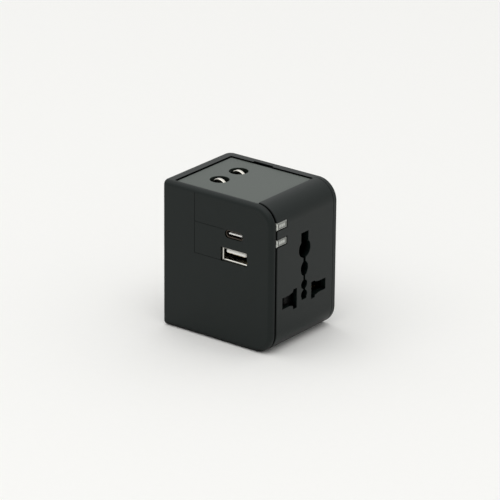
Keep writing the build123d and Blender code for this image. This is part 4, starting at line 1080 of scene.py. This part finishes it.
class ADAPTER_OT_outlets(bpy.types.Operator):
    """Build the two outlets with their shells, tongues and contacts"""

    bl_idname = "adapter.outlets"
    bl_label = "Outlets"

    def execute(self, context):
        lip = sizes.shell_lip
        self.shell("usb_a_shell", "bent", "outlet_shell", lip, wall=0.3 * MM, corner=0.5 * MM)
        self.shell("usb_c_shell", "drawn", "drawn_steel_painted_shade", lip / 2, wall=0.25 * MM, corner=1.6 * MM)
        self.tongue("usb_a_tongue", rounding=0.8 * MM, side_gap=0.4 * MM)
        self.tongue("usb_c_tongue", rounding=0.2 * MM, side_gap=0.0)
        self.springs("usb_a_contacts")
        return {"FINISHED"}

    def shell(self, node, work, finish, lip, wall, corner):
        """A sheet-metal shell with a lip rolled into its mouth."""
        obj = piece_from(merged(node), f"{node}_{work}")
        obj.data.materials.append(finish_for(finish))
        mouth = piece_from(rolled_lip(node, wall, lip, corner), f"{node}_lip")
        settle(round_edges(joined(obj, mouth), sizes.outlet_edge, SLIGHT), node)

    def tongue(self, node, rounding, side_gap):
        """A bright tongue with rounded ends; its back in the shell is painted black as shade."""
        low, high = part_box(node)
        shaded_back_depth = 3.05 * MM
        bm = beyond(node, high.y - shaded_back_depth, -1.0)
        middle = (low.x + high.x) / 2
        for vert in bm.verts:
            vert.co.x -= math.copysign(side_gap, vert.co.x - middle)
        front = piece_from(bm, f"{node}_moulded")
        settle(round_edges(front, rounding, FINE), node, "white_plastic")
        # The real back is the same white moulding; the black inner finish here is painted shade.
        back = piece_from(beyond(node, high.y - shaded_back_depth, 1.0), f"{node}_base")
        settle(round_edges(back, sizes.metal_edge, SLIGHT), node, "inner_plastic")

    def springs(self, node):
        """Four contact springs that bow down from the tongue."""
        low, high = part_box(node)
        sheet, width, bow, number = 0.1 * MM, 1.0 * MM, 0.18 * MM, 4
        obj = grown(
            f"{node}_stamped",
            spring_tree(),
            {
                "Length": high.y - low.y,
                "Width": width,
                "Sheet": sheet,
                "Bow": bow,
                "Pitch": (high.x - low.x - width) / (number - 1),
                "Count": number,
                "Finish": finish_for(node_slot[node]),
            },
            ((low.x + width / 2, low.y, high.z - sheet / 2),),
        )
        settle(round_edges(obj, sizes.spring_edge, SINGLE), node)


class ADAPTER_OT_blades(bpy.types.Operator):
    """Build the flat blades with their turrets and clips"""

    bl_idname = "adapter.blades"
    bl_label = "Flat blades"

    def execute(self, context):
        for side in ("line", "neutral"):
            refined(f"us_blade_{side}", "plated", sizes.blade_edge, FINE)
            refined(f"us_turret_{side}", "moulded", sizes.inner_edge)
            refined(f"us_turret_clip_{side}", "stamped", sizes.metal_edge, SLIGHT)
        return {"FINISHED"}


class ADAPTER_OT_round_pins(bpy.types.Operator):
    """Build the round pins and their sleeves"""

    bl_idname = "adapter.round_pins"
    bl_label = "Round pins"

    def execute(self, context):
        for side in ("line", "neutral"):
            refined(f"eu_pin_{side}", "turned", sizes.metal_edge, SLIGHT)
        refined("eu_pin_sleeves", "moulded", sizes.metal_edge, SLIGHT)
        return {"FINISHED"}


class ADAPTER_OT_square_pins(bpy.types.Operator):
    """Build the fold-out square pins with their sleeves and hinge shafts"""

    bl_idname = "adapter.square_pins"
    bl_label = "Square pins"

    def execute(self, context):
        for side in ("line", "neutral"):
            refined(f"uk_{side}_pin", "plated", sizes.pin_edge, FINE)
            refined(f"uk_{side}_sleeve", "moulded", sizes.metal_edge, SLIGHT)
        refined("uk_earth_pin", "moulded", sizes.pin_edge, FINE)
        refined("uk_hinge_shafts", "ground", sizes.metal_edge, SLIGHT)
        return {"FINISHED"}


class ADAPTER_OT_sliders(bpy.types.Operator):
    """Build the thumb sliders with their rounded grip ribs"""

    bl_idname = "adapter.sliders"
    bl_label = "Thumb sliders"

    def execute(self, context):
        bars = bar_tree()
        for node in ("us_slider", "eu_slider"):
            low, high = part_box(node)
            floor_y = high.y - sizes.rib_height
            obj = piece_from(beyond(node, floor_y, -1.0), f"{node}_moulded")
            round_edges(obj, sizes.inner_edge)
            ribs = placed_row(
                f"{node}_ribs",
                bars,
                {
                    "Length": sizes.rib_length,
                    "Width": 2 * sizes.rib_height,
                    "Height": sizes.rib_width,
                    "Pitch": sizes.rib_pitch,
                    "Count": sizes.rib_count,
                    "Finish": finish_for(node_slot[node]),
                },
                (0.0, 0.0, 0.0),
                ((low.x + high.x) / 2, floor_y, (low.z + high.z) / 2),
            )
            settle(joined(obj, ribs), node)
        return {"FINISHED"}


class ADAPTER_OT_carriages(bpy.types.Operator):
    """Build the carriages and their wipers"""

    bl_idname = "adapter.carriages"
    bl_label = "Carriages"

    def execute(self, context):
        for plug in ("us", "eu"):
            refined(f"{plug}_carriage", "moulded", sizes.inner_edge)
            for side in ("line", "neutral"):
                refined(f"{plug}_wiper_{side}", "stamped", sizes.thin_edge, SLIGHT)
        return {"FINISHED"}


class ADAPTER_OT_inner_frame(bpy.types.Operator):
    """Build the hidden mouldings, bus bars and socket contacts"""

    bl_idname = "adapter.inner_frame"
    bl_label = "Inner frame"

    def execute(self, context):
        for node in ("uk_pin_housing", "chassis_web", "socket_base"):
            refined(node, "moulded", sizes.inner_edge)
        for side in ("line", "neutral"):
            refined(f"bus_bar_{side}", "stamped", sizes.metal_edge, SLIGHT)
            refined(f"socket_contact_{side}", "stamped", sizes.thin_edge, SLIGHT)
        return {"FINISHED"}


class ADAPTER_OT_circuit(bpy.types.Operator):
    """Build the boards, the transformer, the capacitors and the fuse"""

    bl_idname = "adapter.circuit"
    bl_label = "Circuit"

    def execute(self, context):
        for node in ("usb_board", "power_board"):
            refined(node, "etched", sizes.thin_edge, SINGLE)
        refined("charge_controller", "moulded", sizes.chip_edge, SLIGHT)
        refined("transformer_core", "sintered", sizes.core_edge, SLIGHT)
        self.winding("transformer_winding")
        refined("capacitors", "sleeved", sizes.can_edge, FINE)
        refined("fuse_glass", "drawn", sizes.thin_edge, SLIGHT)
        refined("fuse_caps", "pressed", sizes.cap_edge)
        refined("fuse_clips", "stamped", sizes.thin_edge, SLIGHT)
        refined("board_link_pins", "cut", sizes.thin_edge, SLIGHT)
        return {"FINISHED"}

    def winding(self, node):
        """Tape over turns of wire, which show through it as ridges round the block."""
        low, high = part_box(node)
        wire, turn_corner = sizes.wire, 0.6 * MM
        bm = merged(node)
        middle = (low + high) / 2
        for vert in bm.verts:
            for axis in (0, 1):
                vert.co[axis] -= math.copysign(wire / 2, vert.co[axis] - middle[axis])
        obj = round_edges(piece_from(bm, f"{node}_wrapped"), sizes.tape_edge)
        turns = grown(
            f"{node}_turns",
            turn_tree(),
            {
                "Span X": high.x - low.x - wire,
                "Span Y": high.y - low.y - wire,
                "Corner": turn_corner,
                "Wire": wire,
                "Pitch": (high.z - low.z - wire) / (sizes.wire_turns - 1),
                "Count": sizes.wire_turns,
                "Finish": finish_for(node_slot[node]),
            },
            ((middle.x, middle.y, low.z + wire / 2),),
        )
        turns.data.shade_smooth()
        settle(joined(obj, turns), node)


class ADAPTER_OT_screws(bpy.types.Operator):
    """Build the casing screws with cross heads and threads"""

    bl_idname = "adapter.screws"
    bl_label = "Screws"

    def execute(self, context):
        tree = screw_tree()
        head_radius, head_height, shank_radius = 2.1 * MM, 1.2 * MM, 1.08 * MM
        for node, axis, turn in (
            ("back_screws", 0, (0.0, math.radians(90.0), 0.0)),
            ("base_screws", 2, (0.0, 0.0, 0.0)),
        ):
            low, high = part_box(node)
            obj = grown(
                f"{node}_rolled",
                tree,
                {
                    "Head radius": head_radius,
                    "Head height": head_height,
                    "Shank radius": shank_radius,
                    "Length": high[axis] - low[axis],
                    "Cross": sizes.screw_cross,
                    "Turn": turn,
                    "Finish": finish_for(node_slot[node]),
                },
                self.corners(low, high, axis, head_radius),
            )
            settle(round_edges(obj, sizes.screw_edge, SLIGHT, degrees=50.0), node)
        return {"FINISHED"}

    def corners(self, low, high, axis, head_radius):
        """The middle of each screw head's outer face, from the box of its group of screws."""
        spans = []
        for i in range(3):
            first, last = low[i] + head_radius, high[i] - head_radius
            if i == axis:
                spans.append([low[i]])
            elif last - first > head_radius:
                spans.append([first, last])
            else:
                spans.append([first])
        return [(x, y, z) for x in spans[0] for y in spans[1] for z in spans[2]]


class ADAPTER_OT_stage(bpy.types.Operator):
    """Set the pale floor, the soft lights, the room and the camera"""

    bl_idname = "adapter.stage"
    bl_label = "Studio"

    def execute(self, context):
        bm = bmesh.new()
        bmesh.ops.create_circle(bm, cap_ends=True, radius=6.0, segments=96)
        floor = piece_from(bm, "studio_floor")
        floor.data.materials.append(studio_paper())
        soft_light("key_light", place=(0.0, -0.6, 2.0), width=2.8, power=stage.key_power)
        soft_light("fill_light", place=(1.2, -1.6, 0.9), width=1.6, power=stage.fill_power)
        room(context.scene)
        camera(context.scene)
        context.scene.view_settings.view_transform = "Standard"
        return {"FINISHED"}


# Studio


def studio_paper():
    """Matt seamless paper of the studio floor.

    Even and pale, with a faint fibre mottle about 3 mm across.
    """
    made, tree, shader, where = material("matt_studio_paper", {"IOR": 1.45, "Roughness": 0.9})
    mixed, fibre = cloudy(tree, where, rgba(colours.floor, 0.985), rgba(colours.floor), 3.0)
    settings = {"Strength": 0.1, "Distance": 0.02 * MM, "Height": fibre}
    normal = add(tree, "ShaderNodeBump", settings, "Normal")
    tree.links.new(mixed, shader.inputs["Base Color"])
    tree.links.new(normal, shader.inputs["Normal"])
    return made


def soft_light(name, place, width, power):
    """A large square lamp that looks at the adapter."""
    lamp = bpy.data.lights.new(name, "AREA")
    lamp.size = width
    lamp.energy = power
    obj = linked(name, lamp)
    obj.location = place
    adapter_middle = Vector((0.0, 0.0, 30.0 * MM))
    aim = adapter_middle - obj.location
    obj.rotation_euler = aim.to_track_quat("-Z", "Y").to_euler()


def room(scene):
    """A pale room with its light overhead, which the camera itself sees as near white.

    Its strength rises with height, as under a studio's ceiling of soft boxes.
    """
    world = bpy.data.worlds.new("pale_room")
    scene.world = world
    world.use_nodes = True
    tree = world.node_tree
    tree.nodes.clear()
    seen = add(tree, "ShaderNodeLightPath").outputs
    way = add(tree, "ShaderNodeTexCoord", give="Generated")
    height = add(tree, "ShaderNodeSeparateXYZ", {"Vector": way}, "Z")
    settings = {"To Min": stage.room_low, "To Max": stage.room_high, "Value": height}
    ceiling = add(tree, "ShaderNodeMapRange", settings, "Result")
    settings = {"To Min": 1.0, "To Max": stage.room_mirror, "Value": seen["Is Glossy Ray"]}
    mirrored = add(tree, "ShaderNodeMapRange", settings, "Result")
    lit = add(tree, "ShaderNodeMath", {"operation": "MULTIPLY", 0: ceiling, 1: mirrored}, 0)
    settings = {
        "operation": "MAXIMUM",
        0: seen["Is Camera Ray"],
        1: seen["Is Transmission Ray"],
    }
    straight = add(tree, "ShaderNodeMath", settings, 0)
    settings = {"data_type": "FLOAT", 3: 1.0, 0: straight, 2: lit}
    strength = add(tree, "ShaderNodeMix", settings, 0)
    settings = {"Color": (0.985, 0.993, 0.985, 1.0), "Strength": strength}
    light = add(tree, "ShaderNodeBackground", settings, "Background")
    add(tree, "ShaderNodeOutputWorld", {"Surface": light})


def camera(scene):
    """The camera at the photograph's place, from a fit to the adapter's edges."""
    roll, side, rise, distance = math.radians(0.5), 0.05 * MM, 2.12 * MM, 1371.3 * MM
    target = Vector((0.0, 0.0, 31.0 * MM))
    turn, lift = stage.azimuth, stage.elevation
    back = Vector(
        (math.sin(turn) * math.cos(lift), -math.cos(turn) * math.cos(lift), math.sin(lift))
    )
    right = Vector((math.cos(turn), math.sin(turn), 0.0))
    up = back.cross(right)
    across = right * math.cos(roll) + up * math.sin(roll)
    upward = up * math.cos(roll) - right * math.sin(roll)
    seat = back * distance + right * side + up * rise + target
    lens = bpy.data.cameras.new("studio_camera")
    lens.lens = stage.lens
    lens.sensor_width = 36.0
    lens.clip_start = 0.05
    lens.clip_end = 50.0
    obj = linked("studio_camera", lens)
    turned = Matrix((across, upward, back)).transposed().to_4x4()
    obj.matrix_world = Matrix.Translation(seat) @ turned
    scene.camera = obj


class ADAPTER_PT_panel(bpy.types.Panel):
    """Lists the adapter's steps in the sidebar"""

    bl_idname = "ADAPTER_PT_panel"
    bl_label = "Travel adapter"
    bl_space_type = "VIEW_3D"
    bl_region_type = "UI"
    bl_category = "Adapter"

    def draw(self, context):
        for step in STEPS:
            self.layout.operator(step.bl_idname)


STEPS = (
    ADAPTER_OT_stage,
    ADAPTER_OT_casing,
    ADAPTER_OT_panels,
    ADAPTER_OT_windows,
    ADAPTER_OT_outlets,
    ADAPTER_OT_blades,
    ADAPTER_OT_round_pins,
    ADAPTER_OT_square_pins,
    ADAPTER_OT_sliders,
    ADAPTER_OT_carriages,
    ADAPTER_OT_inner_frame,
    ADAPTER_OT_circuit,
    ADAPTER_OT_screws,
)
GROUPS = {
    "adapter_sizes": AdapterSizes,
    "adapter_colours": AdapterColours,
    "adapter_stage": AdapterStage,
}


def register():
    """Registers the settings, the operators and the panel."""
    for name, group in GROUPS.items():
        bpy.utils.register_class(group)
        setattr(bpy.types.Scene, name, bpy.props.PointerProperty(type=group))
    for step in (*STEPS, ADAPTER_PT_panel):
        bpy.utils.register_class(step)


def unregister():
    """Takes back what register does."""
    for step in reversed((*STEPS, ADAPTER_PT_panel)):
        bpy.utils.unregister_class(step)
    for name, group in GROUPS.items():
        delattr(bpy.types.Scene, name)
        bpy.utils.unregister_class(group)


def main():
    """Runs every step in order."""
    global sizes, colours, stage
    register()
    scene = bpy.context.scene
    sizes, colours, stage = scene.adapter_sizes, scene.adapter_colours, scene.adapter_stage
    for step in STEPS:
        family, action = step.bl_idname.split(".")
        if getattr(getattr(bpy.ops, family), action)() != {"FINISHED"}:
            raise RuntimeError(f"{step.bl_label} did not finish")


if __name__ == "__main__":
    main()
